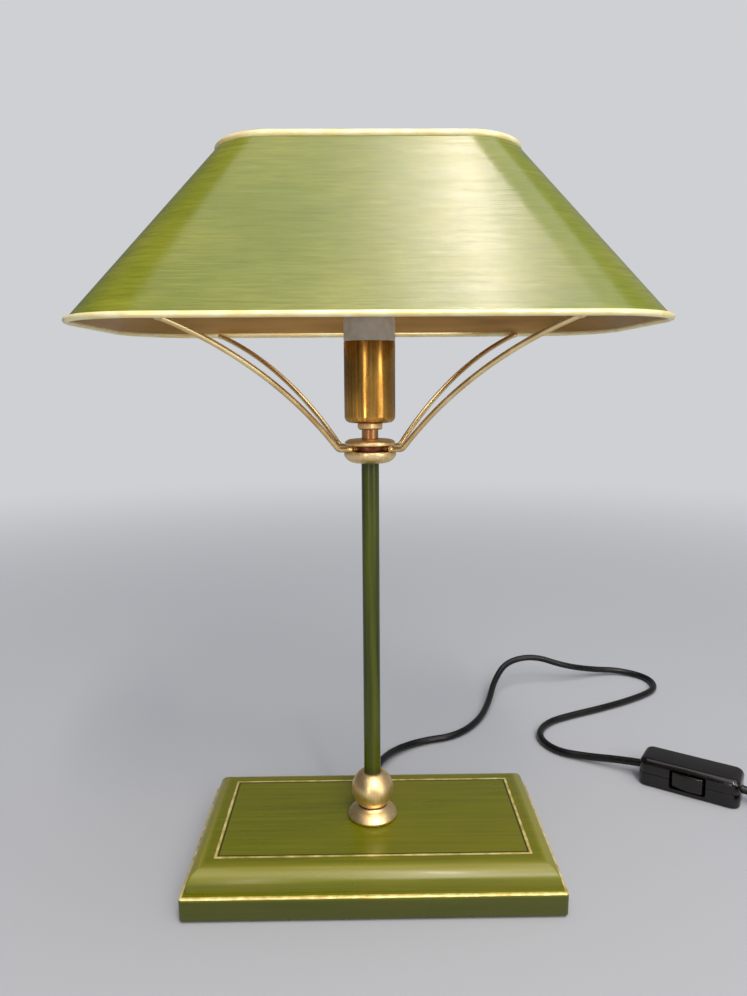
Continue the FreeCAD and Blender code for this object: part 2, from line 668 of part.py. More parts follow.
# ---------------------------------------------------------------- lampholder
def holder_sleeve():
    inner = HOLDER_R - HOLDER_WALL
    floor = HOLDER_Z + HOLDER_FLOOR_T
    edge = HOLDER_EDGE_R
    inner_edge = edge - HOLDER_WALL
    cut = math.sqrt(0.5)
    return turned([
        line((STEM_R, 0, HOLDER_Z), (HOLDER_R - edge, 0, HOLDER_Z)),
        arc((HOLDER_R - edge, 0, HOLDER_Z),
            (HOLDER_R - edge + edge * cut, 0, HOLDER_Z + edge - edge * cut),
            (HOLDER_R, 0, HOLDER_Z + edge)),
        line((HOLDER_R, 0, HOLDER_Z + edge), (HOLDER_R, 0, HOLDER_TOP)),
        line((HOLDER_R, 0, HOLDER_TOP), (inner, 0, HOLDER_TOP)),
        line((inner, 0, HOLDER_TOP), (inner, 0, floor + inner_edge)),
        arc((inner, 0, floor + inner_edge),
            (inner - inner_edge + inner_edge * cut, 0, floor + inner_edge - inner_edge * cut),
            (inner - inner_edge, 0, floor)),
        line((inner - inner_edge, 0, floor), (STEM_R, 0, floor)),
        line((STEM_R, 0, floor), (STEM_R, 0, HOLDER_Z)),
    ])


def holder_nut():
    low = HOLDER_Z + HOLDER_FLOOR_T
    return hexagon(NUT_ACROSS, low, low + NUT_T).cut(rod(STEM_R, low, low + NUT_T))


def terminal_places():
    return [(-TERMINAL_X, 0.0), (TERMINAL_X, 0.0)]


def terminal_block(x):
    half = TERMINAL_W / 2
    return box(x - half, x + half, -half, half, TERMINAL_Z0, TERMINAL_Z0 + TERMINAL_H)


def centre_contact():
    """Sprung contact: a disc, its pin and a strip that ends on one terminal."""
    strip_z = CONTACT_Z - CONTACT_PIN_L
    disc = rod(CONTACT_R, CONTACT_Z, CONTACT_Z + CONTACT_T)
    pin = rod(CONTACT_PIN_R, strip_z, CONTACT_Z)
    strip = box(-CONTACT_PIN_R, TERMINAL_X + STRIP_PAST, -CONTACT_PIN_R, CONTACT_PIN_R,
                TERMINAL_Z0 + TERMINAL_H, strip_z + CONTACT_T)
    return disc.fuse([pin, strip]).removeSplitter()


def screw_shell():
    outer = SHELL_BORE_R + SHELL_WALL
    return rod(outer, SHELL_Z, SHELL_Z + SHELL_L).cut(rod(SHELL_BORE_R, SHELL_Z, SHELL_Z + SHELL_L))


def holder_insert(contact):
    body_r = HOLDER_R - HOLDER_WALL - INSERT_GAP
    insert = rod(body_r, INSERT_Z0, HOLDER_TOP)
    insert = insert.fuse(rod(INSERT_COLLAR_R, HOLDER_TOP, INSERT_Z1)).removeSplitter()
    insert = insert.cut(rod(SHELL_BORE_R + SHELL_WALL, CONTACT_Z, INSERT_Z1))
    insert = insert.cut(rod(MOUTH_R, INSERT_Z1 - MOUTH_H, INSERT_Z1))
    insert = insert.cut(rod(INSERT_RECESS_R, INSERT_Z0, INSERT_Z0 + INSERT_RECESS_H))
    for x, _ in terminal_places():
        insert = insert.cut(terminal_block(x))
    return insert.cut(contact)


def terminals():
    return Part.makeCompound([terminal_block(x) for x, _ in terminal_places()])


def terminal_screws():
    front = -TERMINAL_W / 2
    z = TERMINAL_Z0 + TERMINAL_SCREW_R
    return Part.makeCompound([
        rod_between(TERMINAL_SCREW_R, (x, front - TERMINAL_SCREW_L, z), (x, front, z))
        for x, _ in terminal_places()])


# ---------------------------------------------------------------- leads and cords
def tube(points, r):
    """Round tube along straight runs joined by tangent arcs, and the list of arc radii."""
    corners = [Vec(*p) for p in points]
    runs = [(b - a).Length for a, b in zip(corners, corners[1:])]
    edges = []
    radii = []
    start = corners[0]
    for i in range(1, len(corners) - 1):
        back = (corners[i - 1] - corners[i]).normalize()
        ahead = (corners[i + 1] - corners[i]).normalize()
        half_turn = (math.pi - back.getAngle(ahead)) / 2
        cut = ROUNDED_SHARE * min(runs[i - 1], runs[i])
        radius = cut / math.tan(half_turn)
        inside = (back + ahead).normalize()
        middle = corners[i] + inside * (radius / math.cos(half_turn) - radius)
        a = corners[i] + back * cut
        b = corners[i] + ahead * cut
        edges.append(Part.LineSegment(start, a).toShape())
        edges.append(Part.Arc(a, middle, b).toShape())
        radii.append(round(radius, 1))
        start = b
    edges.append(Part.LineSegment(start, corners[-1]).toShape())
    path = Part.Wire(edges)
    section = Part.Wire(Part.Circle(corners[0], corners[1] - corners[0], r).toShape())
    solid = path.makePipeShell([section], True, True)
    expected = math.pi * r * r * path.Length
    print("tube length", round(path.Length, 1), "volume share", round(solid.Volume / expected, 4),
          "radii", radii)
    return solid


def inner_lead():
    """Lead from the bush along the channel and up the stem to the lampholder."""
    back = BASE_D / 2 - BACK_WALL
    r = LEAD_BEND_R
    part_way = r - r * math.sqrt(0.5)
    path = Part.Wire([
        line((0, back, LEAD_Z), (0, r, LEAD_Z)),
        arc((0, r, LEAD_Z), (0, part_way, LEAD_Z + part_way), (0, 0, LEAD_Z + r)),
        line((0, 0, LEAD_Z + r), (0, 0, LEAD_TOP)),
    ])
    section = Part.Wire(Part.Circle(Vec(0, back, LEAD_Z), Vec(0, 1, 0), LEAD_R).toShape())
    return path.makePipeShell([section], True, True)


def lead_cores():
    """The two cores, from the lead's end to the undersides of the terminals."""
    return Part.makeCompound([
        rod_between(CORE_R, (side * CORE_X, 0, LEAD_TOP), (side * TERMINAL_X, 0, TERMINAL_Z0))
        for side in (-1, 1)])


# ---------------------------------------------------------------- in-line switch
def place_switch(shape):
    """Move a piece from the switch's own axes (length along X) to where the switch lies."""
    shape.rotate(Vec(0, 0, 0), Vec(0, 0, 1), SWITCH_TURN)
    shape.translate(Vec(SWITCH_X, SWITCH_Y, SWITCH_Z0))
    return shape


def rocker_window():
    half = ROCKER_L / 2 + ROCKER_PLAY
    middle = SWITCH_H / 2
    rise = ROCKER_H / 2 + ROCKER_PLAY
    return box(-half, half, -SWITCH_W, -ROCKER_BACK, middle - rise, middle + rise)


def cord_holes():
    middle = SWITCH_H / 2
    return rod_between(CORD_R + CORD_HOLE_PLAY, (-SWITCH_L, 0, middle), (SWITCH_L, 0, middle))


def rocker_pin():
    low = SWITCH_WALL - PIN_SEAT
    return rod(ROCKER_PIN_R, low, SWITCH_H - low, 0, -ROCKER_PIN_Y)


def switch_hollow(z0, z1):
    return box(-SWITCH_L / 2 + SWITCH_WALL, SWITCH_L / 2 - SWITCH_WALL,
               -SWITCH_W / 2 + SWITCH_WALL, SWITCH_W / 2 - SWITCH_WALL, z0, z1)


def boss_places():
    return [(side * BOSS_X, BOSS_Y) for side in (-1, 1)]


def switch_shell(z0, z1, outer_z, edge_r, hollow):
    """Half of the switch's body; outer_z is its closed face, hollow its inside."""
    shell = rounded_box(SWITCH_L, SWITCH_W, z0, z1, SWITCH_CORNER_R)
    shell = shell.makeFillet(edge_r, level_edges(shell, outer_z))
    shell = shell.cut(hollow)
    for x, y in boss_places():
        shell = shell.fuse(rod(BOSS_R, max(z0, SWITCH_WALL), min(z1, SWITCH_H - SWITCH_WALL), x, y))
    for x, y in boss_places():
        shell = shell.cut(switch_screw(x, y))
    return shell.cut(rocker_window()).cut(cord_holes()).cut(rocker_pin())


def switch_screw(x, y):
    tip = SWITCH_H - SWITCH_WALL - BOSS_SCREW_TIP
    return headed_screw(BOSS_SCREW_R, BOSS_SCREW_HEAD_R, BOSS_SCREW_HEAD_T,
                        BOSS_SCREW_HEAD_T, tip, x, y)


def switch_rocker():
    """Rocker with a crest in the middle of its face, stored at one end of its throw."""
    half = ROCKER_L / 2
    outline = [(-half, -ROCKER_BACK), (half, -ROCKER_BACK), (half, -ROCKER_FACE),
               (0, -ROCKER_CREST), (-half, -ROCKER_FACE), (-half, -ROCKER_BACK)]
    low = (SWITCH_H - ROCKER_H) / 2
    face = Part.Face(Part.makePolygon([Vec(x, y, low) for x, y in outline]))
    rocker = face.extrude(Vec(0, 0, ROCKER_H))
    rocker = rocker.cut(rod(ROCKER_PIN_R + FIT, low, low + ROCKER_H, 0, -ROCKER_PIN_Y))
    rocker.rotate(Vec(0, -ROCKER_PIN_Y, 0), Vec(0, 0, 1), -ROCKER_THROW / 2)
    return rocker


def switch_contacts():
    x, y, z = CONTACT_BLOCK
    return Part.makeCompound([
        box(side * CONTACT_BLOCK_X - x / 2, side * CONTACT_BLOCK_X + x / 2,
            CONTACT_BLOCK_Y, CONTACT_BLOCK_Y + y, SWITCH_WALL, SWITCH_WALL + z)
        for side in (-1, 1)])


# ---------------------------------------------------------------- coil and plug
def cord_coil():
    return Part.makeTorus(COIL_R, COIL_TUBE_R, Vec(COIL_X, COIL_Y, COIL_Z0 + COIL_TUBE_R))


def plug_pins():
    """Round pins: each has a thinner insulated shank at the plug and a bare end."""
    face = PLUG_Y - PLUG_SLEEVE_L - PLUG_L
    shank_end = face - PLUG_SHANK_L
    tip = face - PLUG_PIN_L
    pins = []
    for side in (-1, 1):
        x = PLUG_X + side * PLUG_PIN_PITCH / 2
        shank = rod_between(PLUG_SHANK_R, (x, face + PLUG_PIN_SEAT, PLUG_Z), (x, shank_end, PLUG_Z))
        bare = rod_between(PLUG_PIN_R, (x, shank_end, PLUG_Z), (x, tip, PLUG_Z))
        bare = bare.makeFillet(PLUG_PIN_TIP_R, tip_edges(bare, tip))
        pins.append(bare.fuse(shank).removeSplitter())
    return Part.makeCompound(pins)


def plug_body(pins):
    """Flat moulded plug: tapered sleeve on the cord, a neck that widens and a square face."""
    neck = PLUG_Y - PLUG_SLEEVE_L
    face = neck - PLUG_L
    waist = neck - PLUG_FLARE_L
    outline = [(-PLUG_NECK_W / 2, neck), (PLUG_NECK_W / 2, neck), (PLUG_W / 2, waist),
               (PLUG_W / 2, face), (-PLUG_W / 2, face), (-PLUG_W / 2, waist),
               (-PLUG_NECK_W / 2, neck)]
    low = PLUG_Z - PLUG_T / 2
    plan = Part.Face(Part.makePolygon([Vec(PLUG_X + x, y, low) for x, y in outline]))
    body = plan.extrude(Vec(0, 0, PLUG_T))
    body = body.makeFillet(PLUG_EDGE_R, body.Edges)
    sleeve = Part.makeCone(CORD_R + SLEEVE_WALL, PLUG_NECK_W / 2 - PLUG_SLEEVE_STEP,
                           PLUG_SLEEVE_L + PLUG_SLEEVE_SEAT, Vec(PLUG_X, PLUG_Y, PLUG_Z),
                           Vec(0, -1, 0))
    return body.fuse(sleeve).removeSplitter().cut(pins)


# ---------------------------------------------------------------- all the pieces
os.makedirs("parts", exist_ok=True)

write("base_board", base_board())
write("felt_pad", felt_pad())
write("ballast_plate_left", ballast_plate(-1))
write("ballast_plate_right", ballast_plate(1))
write("ballast_screws", ballast_screws())
write("cord_bush", cord_bush())
write("lead_clamp", lead_clamp())
write("lead_clamp_screws", lead_clamp_screws())
write("inner_lead", inner_lead())
write("lead_cores", lead_cores())

write("stem_tube", stem_tube())
write("stem_washer", stem_washer())
write("stem_nut", stem_nut())
write("foot_flange", foot_flange())
write("ball_collar", ball_collar())

write("hub_dish", hub_dish())
write("hub_disc", hub_disc())
write("hub_locknut", hub_locknut())
ARMS = carrier_arms()
for arm_name, arm_shape in ARMS.items():
    write(arm_name, arm_shape)
write("carrier_ring", carrier_ring(ARMS))

BOTTOM_RIM = shade_rim(RIM_Z0, RIM_R0)
TOP_RIM = shade_rim(RIM_Z1, RIM_R1)
write("shade_bottom_rim", BOTTOM_RIM)
write("shade_top_rim", TOP_RIM)
write("shade_skin", shade_skin(TOP_RIM, BOTTOM_RIM))

write("holder_sleeve", holder_sleeve())
write("holder_nut", holder_nut())
CONTACT = centre_contact()
write("centre_contact", CONTACT)
write("holder_insert", holder_insert(CONTACT))
write("screw_shell", screw_shell())
write("terminals", terminals())
write("terminal_screws", terminal_screws())

MIDDLE = SWITCH_H / 2
LOWER_HOLLOW = switch_hollow(SWITCH_WALL, MIDDLE)
UPPER_HOLLOW = switch_hollow(MIDDLE, SWITCH_H - SWITCH_WALL)
write("switch_lower_shell",
      place_switch(switch_shell(0, MIDDLE, 0, SWITCH_BASE_R, LOWER_HOLLOW)))
write("switch_upper_shell",
      place_switch(switch_shell(MIDDLE, SWITCH_H, SWITCH_H, SWITCH_TOP_R, UPPER_HOLLOW)))
write("switch_rocker", place_switch(switch_rocker()))
write("switch_rocker_pin", place_switch(rocker_pin()))
write("switch_contacts", place_switch(switch_contacts()))
write("switch_screws", place_switch(Part.makeCompound([switch_screw(x, y)
                                                       for x, y in boss_places()])))

write("mains_cord_lamp_side", tube(LAMP_SIDE_ROUTE, CORD_R))
write("mains_cord_coil_side", tube(COIL_SIDE_ROUTE, CORD_R))
write("mains_cord_plug_side", tube(PLUG_SIDE_ROUTE, CORD_R))
write("cord_coil", cord_coil())
PINS = plug_pins()
write("plug_pins", PINS)
write("plug_body", plug_body(PINS))
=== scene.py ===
"""Table lamp with an oval lacquered shade, brass fittings and a moulded green base.

The file follows the lamp as it is put together, from the base up, and then its cord.
"""
import math

import bmesh
import bpy
from mathutils import Matrix, Vector


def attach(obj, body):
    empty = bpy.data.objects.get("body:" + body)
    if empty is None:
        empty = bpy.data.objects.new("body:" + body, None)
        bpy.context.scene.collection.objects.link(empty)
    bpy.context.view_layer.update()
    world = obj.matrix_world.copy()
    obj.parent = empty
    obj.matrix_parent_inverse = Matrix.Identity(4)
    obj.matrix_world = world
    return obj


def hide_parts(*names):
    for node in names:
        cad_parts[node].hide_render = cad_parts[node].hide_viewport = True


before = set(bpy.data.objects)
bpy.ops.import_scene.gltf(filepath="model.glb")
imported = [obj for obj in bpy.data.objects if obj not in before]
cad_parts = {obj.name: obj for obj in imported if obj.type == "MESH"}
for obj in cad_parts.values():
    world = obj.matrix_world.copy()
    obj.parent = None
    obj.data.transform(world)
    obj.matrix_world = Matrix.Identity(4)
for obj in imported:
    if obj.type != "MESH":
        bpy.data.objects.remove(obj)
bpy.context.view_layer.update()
mm = 0.001

# ---------------------------------------------------------------- studio
# A pale floor that runs out to a pale background, one soft ceiling light, a wide soft
# light from the front and a weaker one from the left, and the camera at eye height.
def colour(red, green, blue):
    """Linear colour of a paint given as it looks, 0 to 255."""
    shares = [c / 255 for c in (red, green, blue)]
    return tuple(s / 12.92 if s <= 0.04045 else ((s + 0.055) / 1.055) ** 2.4
                 for s in shares) + (1.0,)


camera_place = Vector((-3.96, -423.574, 289.442)) * mm
camera_data = bpy.data.cameras.new("camera")
camera_data.sensor_width = 36
camera_data.lens = 748 * 36 / 996
camera_data.clip_start = 0.01
camera = bpy.data.objects.new("camera", camera_data)
bpy.context.scene.collection.objects.link(camera)
camera.matrix_world = (Matrix.Translation(camera_place)
                       @ Matrix.Rotation(math.radians(-0.77), 4, "Z")
                       @ Matrix.Rotation(math.radians(90 - 8.811), 4, "X")
                       @ Matrix.Rotation(math.radians(-0.367), 4, "Z"))
bpy.context.scene.camera = camera
bpy.context.scene.view_settings.view_transform = "Standard"


def soft_light(name, place, aim, size, power, tint=(1.0, 1.0, 1.0)):
    """Rectangular light at a place, turned towards a point."""
    data = bpy.data.lights.new(name, "AREA")
    data.shape = "RECTANGLE"
    data.size, data.size_y = size
    data.energy = power
    data.color = tint
    light = bpy.data.objects.new(name, data)
    bpy.context.scene.collection.objects.link(light)
    light.location = place
    light.rotation_euler = (Vector(aim) - Vector(place)).to_track_quat("-Z", "Y").to_euler()
    return light


soft_light("ceiling light", (0.335, -1.02, 1.75), (0.05, -0.05, 0.36), (0.07, 0.6), 6.5,
           (1.0, 0.86, 0.76))
soft_light("broad light", (0.2, -1.0, 1.72), (0.02, -0.05, 0.3), (0.26, 1.1), 5,
           (1.0, 0.88, 0.78))
soft_light("front light", (0.5, -1.6, 1.15), (0, 0, 0.15), (1.1, 0.8), 17, (1.0, 0.95, 0.88))
for name, place, size, power in (("left strip", (-0.42, -1.1, 0.42), (0.1, 0.9), 2.2),
                                 ("right strip", (0.95, -0.85, 0.42), (0.35, 0.9), 3.6)):
    strip = soft_light(name, place, (0, 0, 0.25), size, power, (1.0, 0.95, 0.88))
    strip.visible_diffuse = False
overhead_data = bpy.data.lights.new("overhead light", "SUN")
overhead_data.energy = 1.7
overhead_data.angle = math.radians(70)
overhead = bpy.data.objects.new("overhead light", overhead_data)
bpy.context.scene.collection.objects.link(overhead)
overhead.rotation_euler = Vector((0.15, -0.3, 1.0)).to_track_quat("Z", "Y").to_euler()

world = bpy.data.worlds.new("studio")
bpy.context.scene.world = world
world.use_nodes = True
sky = world.node_tree
sky.nodes.clear()
around = sky.nodes.new("ShaderNodeBackground")
around.inputs["Color"].default_value = colour(205, 208, 214)
toward = sky.nodes.new("ShaderNodeSeparateXYZ")
sky.links.new(sky.nodes.new("ShaderNodeTexCoord").outputs["Generated"], toward.inputs[0])
side_fall = sky.nodes.new("ShaderNodeMapRange")
side_fall.inputs["From Min"].default_value = -0.7
side_fall.inputs["From Max"].default_value = 0.6
side_fall.inputs["To Min"].default_value = 0.17
side_fall.inputs["To Max"].default_value = 0.42
sky.links.new(toward.outputs["X"], side_fall.inputs["Value"])
sky.links.new(side_fall.outputs[0], around.inputs["Strength"])
seen = sky.nodes.new("ShaderNodeBackground")
seen.inputs["Color"].default_value = colour(206, 208, 212)
seen.inputs["Strength"].default_value = 1.0
ray = sky.nodes.new("ShaderNodeLightPath")
choose = sky.nodes.new("ShaderNodeMixShader")
sky.links.new(ray.outputs["Is Camera Ray"], choose.inputs["Fac"])
sky.links.new(around.outputs[0], choose.inputs[1])
sky.links.new(seen.outputs[0], choose.inputs[2])
sky.links.new(choose.outputs[0], sky.nodes.new("ShaderNodeOutputWorld").inputs["Surface"])

bpy.ops.object.select_all(action="DESELECT")
bpy.ops.mesh.primitive_circle_add(vertices=96, radius=7, fill_type="NGON", location=(0, 0, 0))
floor = bpy.context.object
floor.name = "floor"
floor_paint = bpy.data.materials.new("floor paint")
floor_paint.use_nodes = True
floor_shader = floor_paint.node_tree.nodes["Principled BSDF"]
floor_shader.inputs["Base Color"].default_value = colour(178, 181, 187)
floor_shader.inputs["Roughness"].default_value = 0.75
floor_tree = floor_paint.node_tree
from_middle = floor_tree.nodes.new("ShaderNodeVectorMath")
from_middle.operation = "LENGTH"
floor_tree.links.new(floor_tree.nodes.new("ShaderNodeTexCoord").outputs["Object"],
                     from_middle.inputs[0])
fade = floor_tree.nodes.new("ShaderNodeMapRange")
fade.interpolation_type = "SMOOTHSTEP"
fade.inputs["From Min"].default_value = 0.4
fade.inputs["From Max"].default_value = 1.9
floor_tree.links.new(from_middle.outputs["Value"], fade.inputs["Value"])
far_floor = floor_tree.nodes.new("ShaderNodeEmission")
far_floor.inputs["Color"].default_value = colour(206, 208, 212)
floor_mix = floor_tree.nodes.new("ShaderNodeMixShader")
only_seen = floor_tree.nodes.new("ShaderNodeMath")
only_seen.operation = "MULTIPLY"
floor_tree.links.new(fade.outputs[0], only_seen.inputs[0])
floor_tree.links.new(floor_tree.nodes.new("ShaderNodeLightPath").outputs["Is Camera Ray"],
                     only_seen.inputs[1])
floor_tree.links.new(only_seen.outputs[0], floor_mix.inputs["Fac"])
floor_tree.links.new(floor_shader.outputs[0], floor_mix.inputs[1])
floor_tree.links.new(far_floor.outputs[0], floor_mix.inputs[2])
floor_tree.links.new(floor_mix.outputs[0], floor_tree.nodes["Material Output"].inputs["Surface"])
floor.data.materials.append(floor_paint)


# ---------------------------------------------------------------- base board
# The moulded wooden base: a plinth with a flat ledge, and a raised block whose
# quarter-round moulding is mitred at the corners. It is hollowed from below for the
# ballast, the stem's nut and the lead, and lacquered green with gold lines.
def shape_ready(piece):
    """Makes one piece the only selected and the active one."""
    if bpy.context.object and bpy.context.object.mode != "OBJECT":
        bpy.ops.object.mode_set(mode="OBJECT")
    bpy.ops.object.select_all(action="DESELECT")
    piece.select_set(True)
    bpy.context.view_layer.objects.active = piece


def block(name, low, high):
    """Plain block between two corners, given in millimetres."""
    bpy.ops.object.select_all(action="DESELECT")
    middle = [(a + b) / 2 * mm for a, b in zip(low, high)]
    size = [(b - a) * mm for a, b in zip(low, high)]
    bpy.ops.mesh.primitive_cube_add(size=1, location=middle, scale=size)
    piece = bpy.context.object
    piece.name = name
    bpy.ops.object.transform_apply(location=True, rotation=True, scale=True)
    return piece


def peg(name, radius, low, high, x=0.0, y=0.0, sides=48):
    """Plain upright round bar, given in millimetres."""
    bpy.ops.object.select_all(action="DESELECT")
    bpy.ops.mesh.primitive_cylinder_add(vertices=sides, radius=radius * mm,
                                        depth=(high - low) * mm,
                                        location=(x * mm, y * mm, (low + high) / 2 * mm))
    piece = bpy.context.object
    piece.name = name
    bpy.ops.object.transform_apply(location=True, rotation=True, scale=True)
    return piece


def pick(piece, kind, test):
    """Opens a piece for editing with only the vertices, edges or faces that pass a test."""
    shape_ready(piece)
    bpy.ops.object.mode_set(mode="EDIT")
    bpy.ops.mesh.select_mode(type=kind)
    bpy.ops.mesh.select_all(action="DESELECT")
    mesh = bmesh.from_edit_mesh(piece.data)
    for part in {"VERT": mesh.verts, "EDGE": mesh.edges, "FACE": mesh.faces}[kind]:
        if test(part):
            part.select_set(True)
    mesh.select_flush_mode()
    bmesh.update_edit_mesh(piece.data)


def is_upright(edge):
    run = edge.verts[1].co - edge.verts[0].co
    return abs(run.z) > 0.99 * run.length


def lies_at(height):
    """Test for edges and faces that lie level at one height, in millimetres."""
    return lambda part: all(abs(v.co.z - height * mm) < 1e-6 for v in part.verts)


def worked(piece, kind, **settings):
    """Adds one modifier with its settings and applies it."""
    shape_ready(piece)
    modifier = piece.modifiers.new(kind, kind)
    for key, value in settings.items():
        setattr(modifier, key, value)
    bpy.ops.object.modifier_apply(modifier=modifier.name)


def carve(piece, *cutters, how="DIFFERENCE"):
    """Cuts each cutter out of a piece, or unites it, and removes the cutter."""
    for cutter in cutters:
        worked(piece, "BOOLEAN", operation=how, object=cutter, solver="EXACT")
        bpy.data.objects.remove(cutter)


def settled(piece, angle=35):
    """Finished mesh at the origin, smooth between its sharp edges."""
    shape_ready(piece)
    bpy.ops.object.transform_apply(location=True, rotation=True, scale=True)
    bpy.ops.object.shade_smooth_by_angle(angle=math.radians(angle))


def fitted(piece, body, slot, *nodes):
    """Puts a finished piece on its body and hides the carried-over parts it stands for; slot is not used."""
    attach(piece, body)
    if nodes:
        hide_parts(*nodes)


def grain_group():
    """Streaks along a surface: noise stretched by a vector, sharpened between two levels."""
    group = bpy.data.node_groups.new("grain", "ShaderNodeTree")
    face = group.interface
    face.new_socket("Vector", in_out="INPUT", socket_type="NodeSocketVector")
    face.new_socket("Stretch", in_out="INPUT", socket_type="NodeSocketVector")
    face.new_socket("Detail", in_out="INPUT", socket_type="NodeSocketFloat")
    face.new_socket("Low", in_out="INPUT", socket_type="NodeSocketFloat")
    face.new_socket("High", in_out="INPUT", socket_type="NodeSocketFloat")
    face.new_socket("Value", in_out="OUTPUT", socket_type="NodeSocketFloat")
    given = group.nodes.new("NodeGroupInput")
    product = group.nodes.new("ShaderNodeVectorMath")
    product.operation = "MULTIPLY"
    noise = group.nodes.new("ShaderNodeTexNoise")
    noise.inputs["Scale"].default_value = 1.0
    spread = group.nodes.new("ShaderNodeMapRange")
    result = group.nodes.new("NodeGroupOutput")
    group.links.new(given.outputs["Vector"], product.inputs[0])
    group.links.new(given.outputs["Stretch"], product.inputs[1])
    group.links.new(product.outputs[0], noise.inputs["Vector"])
    group.links.new(given.outputs["Detail"], noise.inputs["Detail"])
    group.links.new(noise.outputs["Fac"], spread.inputs["Value"])
    group.links.new(given.outputs["Low"], spread.inputs["From Min"])
    group.links.new(given.outputs["High"], spread.inputs["From Max"])
    group.links.new(spread.outputs[0], result.inputs["Value"])
    return group


GRAIN = grain_group()


class Finish:
    """A material under construction: its nodes are added one after another."""

    def __init__(self, name, **sockets):
        self.material = bpy.data.materials.new(name)
        self.material.use_nodes = True
        self.tree = self.material.node_tree
        self.shader = self.tree.nodes["Principled BSDF"]
        self.place = self.add("ShaderNodeTexCoord").outputs["Object"]
        for key, value in sockets.items():
            self.shader.inputs[key.replace("_", " ")].default_value = value

    def add(self, kind, **settings):
        node = self.tree.nodes.new(kind)
        for key, value in settings.items():
            setattr(node, key, value)
        return node

    def wire(self, source, target):
        if isinstance(source, (int, float, tuple)):
            target.default_value = source
        else:
            self.tree.links.new(source, target)

    def grain(self, stretch, detail=2.0, low=0.3, high=0.7):
        """Value from 0 to 1 that varies with the place, stretched by three numbers per metre."""
        node = self.add("ShaderNodeGroup", node_tree=GRAIN)
        self.wire(self.place, node.inputs["Vector"])
        node.inputs["Stretch"].default_value = stretch
        node.inputs["Detail"].default_value = detail
        node.inputs["Low"].default_value = low
        node.inputs["High"].default_value = high
        return node.outputs[0]

    def sum(self, operation, a, b=0.0, clamp=False):
        node = self.add("ShaderNodeMath", operation=operation, use_clamp=clamp)
        self.wire(a, node.inputs[0])
        self.wire(b, node.inputs[1])
        return node.outputs[0]

    def blend(self, share, a, b, kind="RGBA"):
        """Colour or value between a and b."""
        node = self.add("ShaderNodeMix", data_type=kind)
        inputs = [s for s in node.inputs if s.enabled]
        self.wire(share, inputs[0])
        self.wire(a, inputs[1])
        self.wire(b, inputs[2])
        return [s for s in node.outputs if s.enabled][0]

    def between(self, value, low, high, to_low=0.0, to_high=1.0):
        node = self.add("ShaderNodeMapRange")
        self.wire(value, node.inputs["Value"])
        for key, number in zip(("From Min", "From Max", "To Min", "To Max"),
                               (low, high, to_low, to_high)):
            node.inputs[key].default_value = number
        return node.outputs[0]

    def axes(self):
        node = self.add("ShaderNodeSeparateXYZ")
        self.wire(self.place, node.inputs[0])
        return node.outputs

    def relief(self, *layers):
        """Bump from (height value, depth in metres) layers, one over another."""
        normal = None
        for height, depth in layers:
            node = self.add("ShaderNodeBump")
            node.inputs["Strength"].default_value = 1.0
            node.inputs["Distance"].default_value = depth
            self.wire(height, node.inputs["Height"])
            if normal:
                self.wire(normal, node.inputs["Normal"])
            normal = node.outputs[0]
        self.wire(normal, self.shader.inputs["Normal"])

    def colour_from(self, value):
        self.wire(value, self.shader.inputs["Base Color"])

    def roughness_from(self, value):
        self.wire(value, self.shader.inputs["Roughness"])


base_w, base_d = 212.0, 115.0
felt_top, plinth_top, riser_top, base_top = 1.0, 14.8, 18.8, 27.4
ledge_w = 3.5
ovolo_w, ovolo_h = 10.5, 8.6

base = block("lacquered_base", (-base_w / 2, -base_d / 2, felt_top),
             (base_w / 2, base_d / 2, plinth_top))
pick(base, "EDGE", is_upright)
bpy.ops.mesh.bevel(offset=2.0 * mm, segments=5, affect="EDGES")
pick(base, "EDGE", lambda edge: lies_at(plinth_top)(edge) or lies_at(felt_top)(edge))
bpy.ops.mesh.bevel(offset=1.2 * mm, segments=4, affect="EDGES")
bpy.ops.object.mode_set(mode="OBJECT")

half_w, half_d = base_w / 2 - ledge_w, base_d / 2 - ledge_w
moulding = block("moulding", (-half_w, -half_d, plinth_top - 1), (half_w, half_d, riser_top))
pick(moulding, "FACE", lies_at(riser_top))
steps = 16
for step in range(steps):
    a, b = (math.pi / 2 * s / steps for s in (step, step + 1))
    bpy.ops.mesh.inset(thickness=ovolo_w * (math.cos(a) - math.cos(b)) * mm,
                       use_even_offset=True)
    bpy.ops.transform.translate(value=(0, 0, ovolo_h * (math.sin(b) - math.sin(a)) * mm))
bpy.ops.object.mode_set(mode="OBJECT")
worked(moulding, "BEVEL", width=0.7 * mm, segments=3, limit_method="ANGLE",
       angle_limit=math.radians(30))
carve(base, moulding, how="UNION")
carve(base, peg("well", 13.0, -1, 20), peg("bore", 5.05, 10, 40),
      block("recess", (-92.5, -40.5, -1), (-21.5, 40.5, 7.5)),
      block("recess", (21.5, -40.5, -1), (92.5, 40.5, 7.5)),
      block("channel", (-5, 0, -1), (5, 48, 13)),
      block("pocket", (-16, 25, -1), (16, 35, 5)))
hole = peg("hole", 4.5, -12, 12)
hole.data.transform(Matrix.Translation((0, 52 * mm, 8 * mm)) @ Matrix.Rotation(math.pi / 2, 4, "X"))
carve(base, hole)
settled(base)

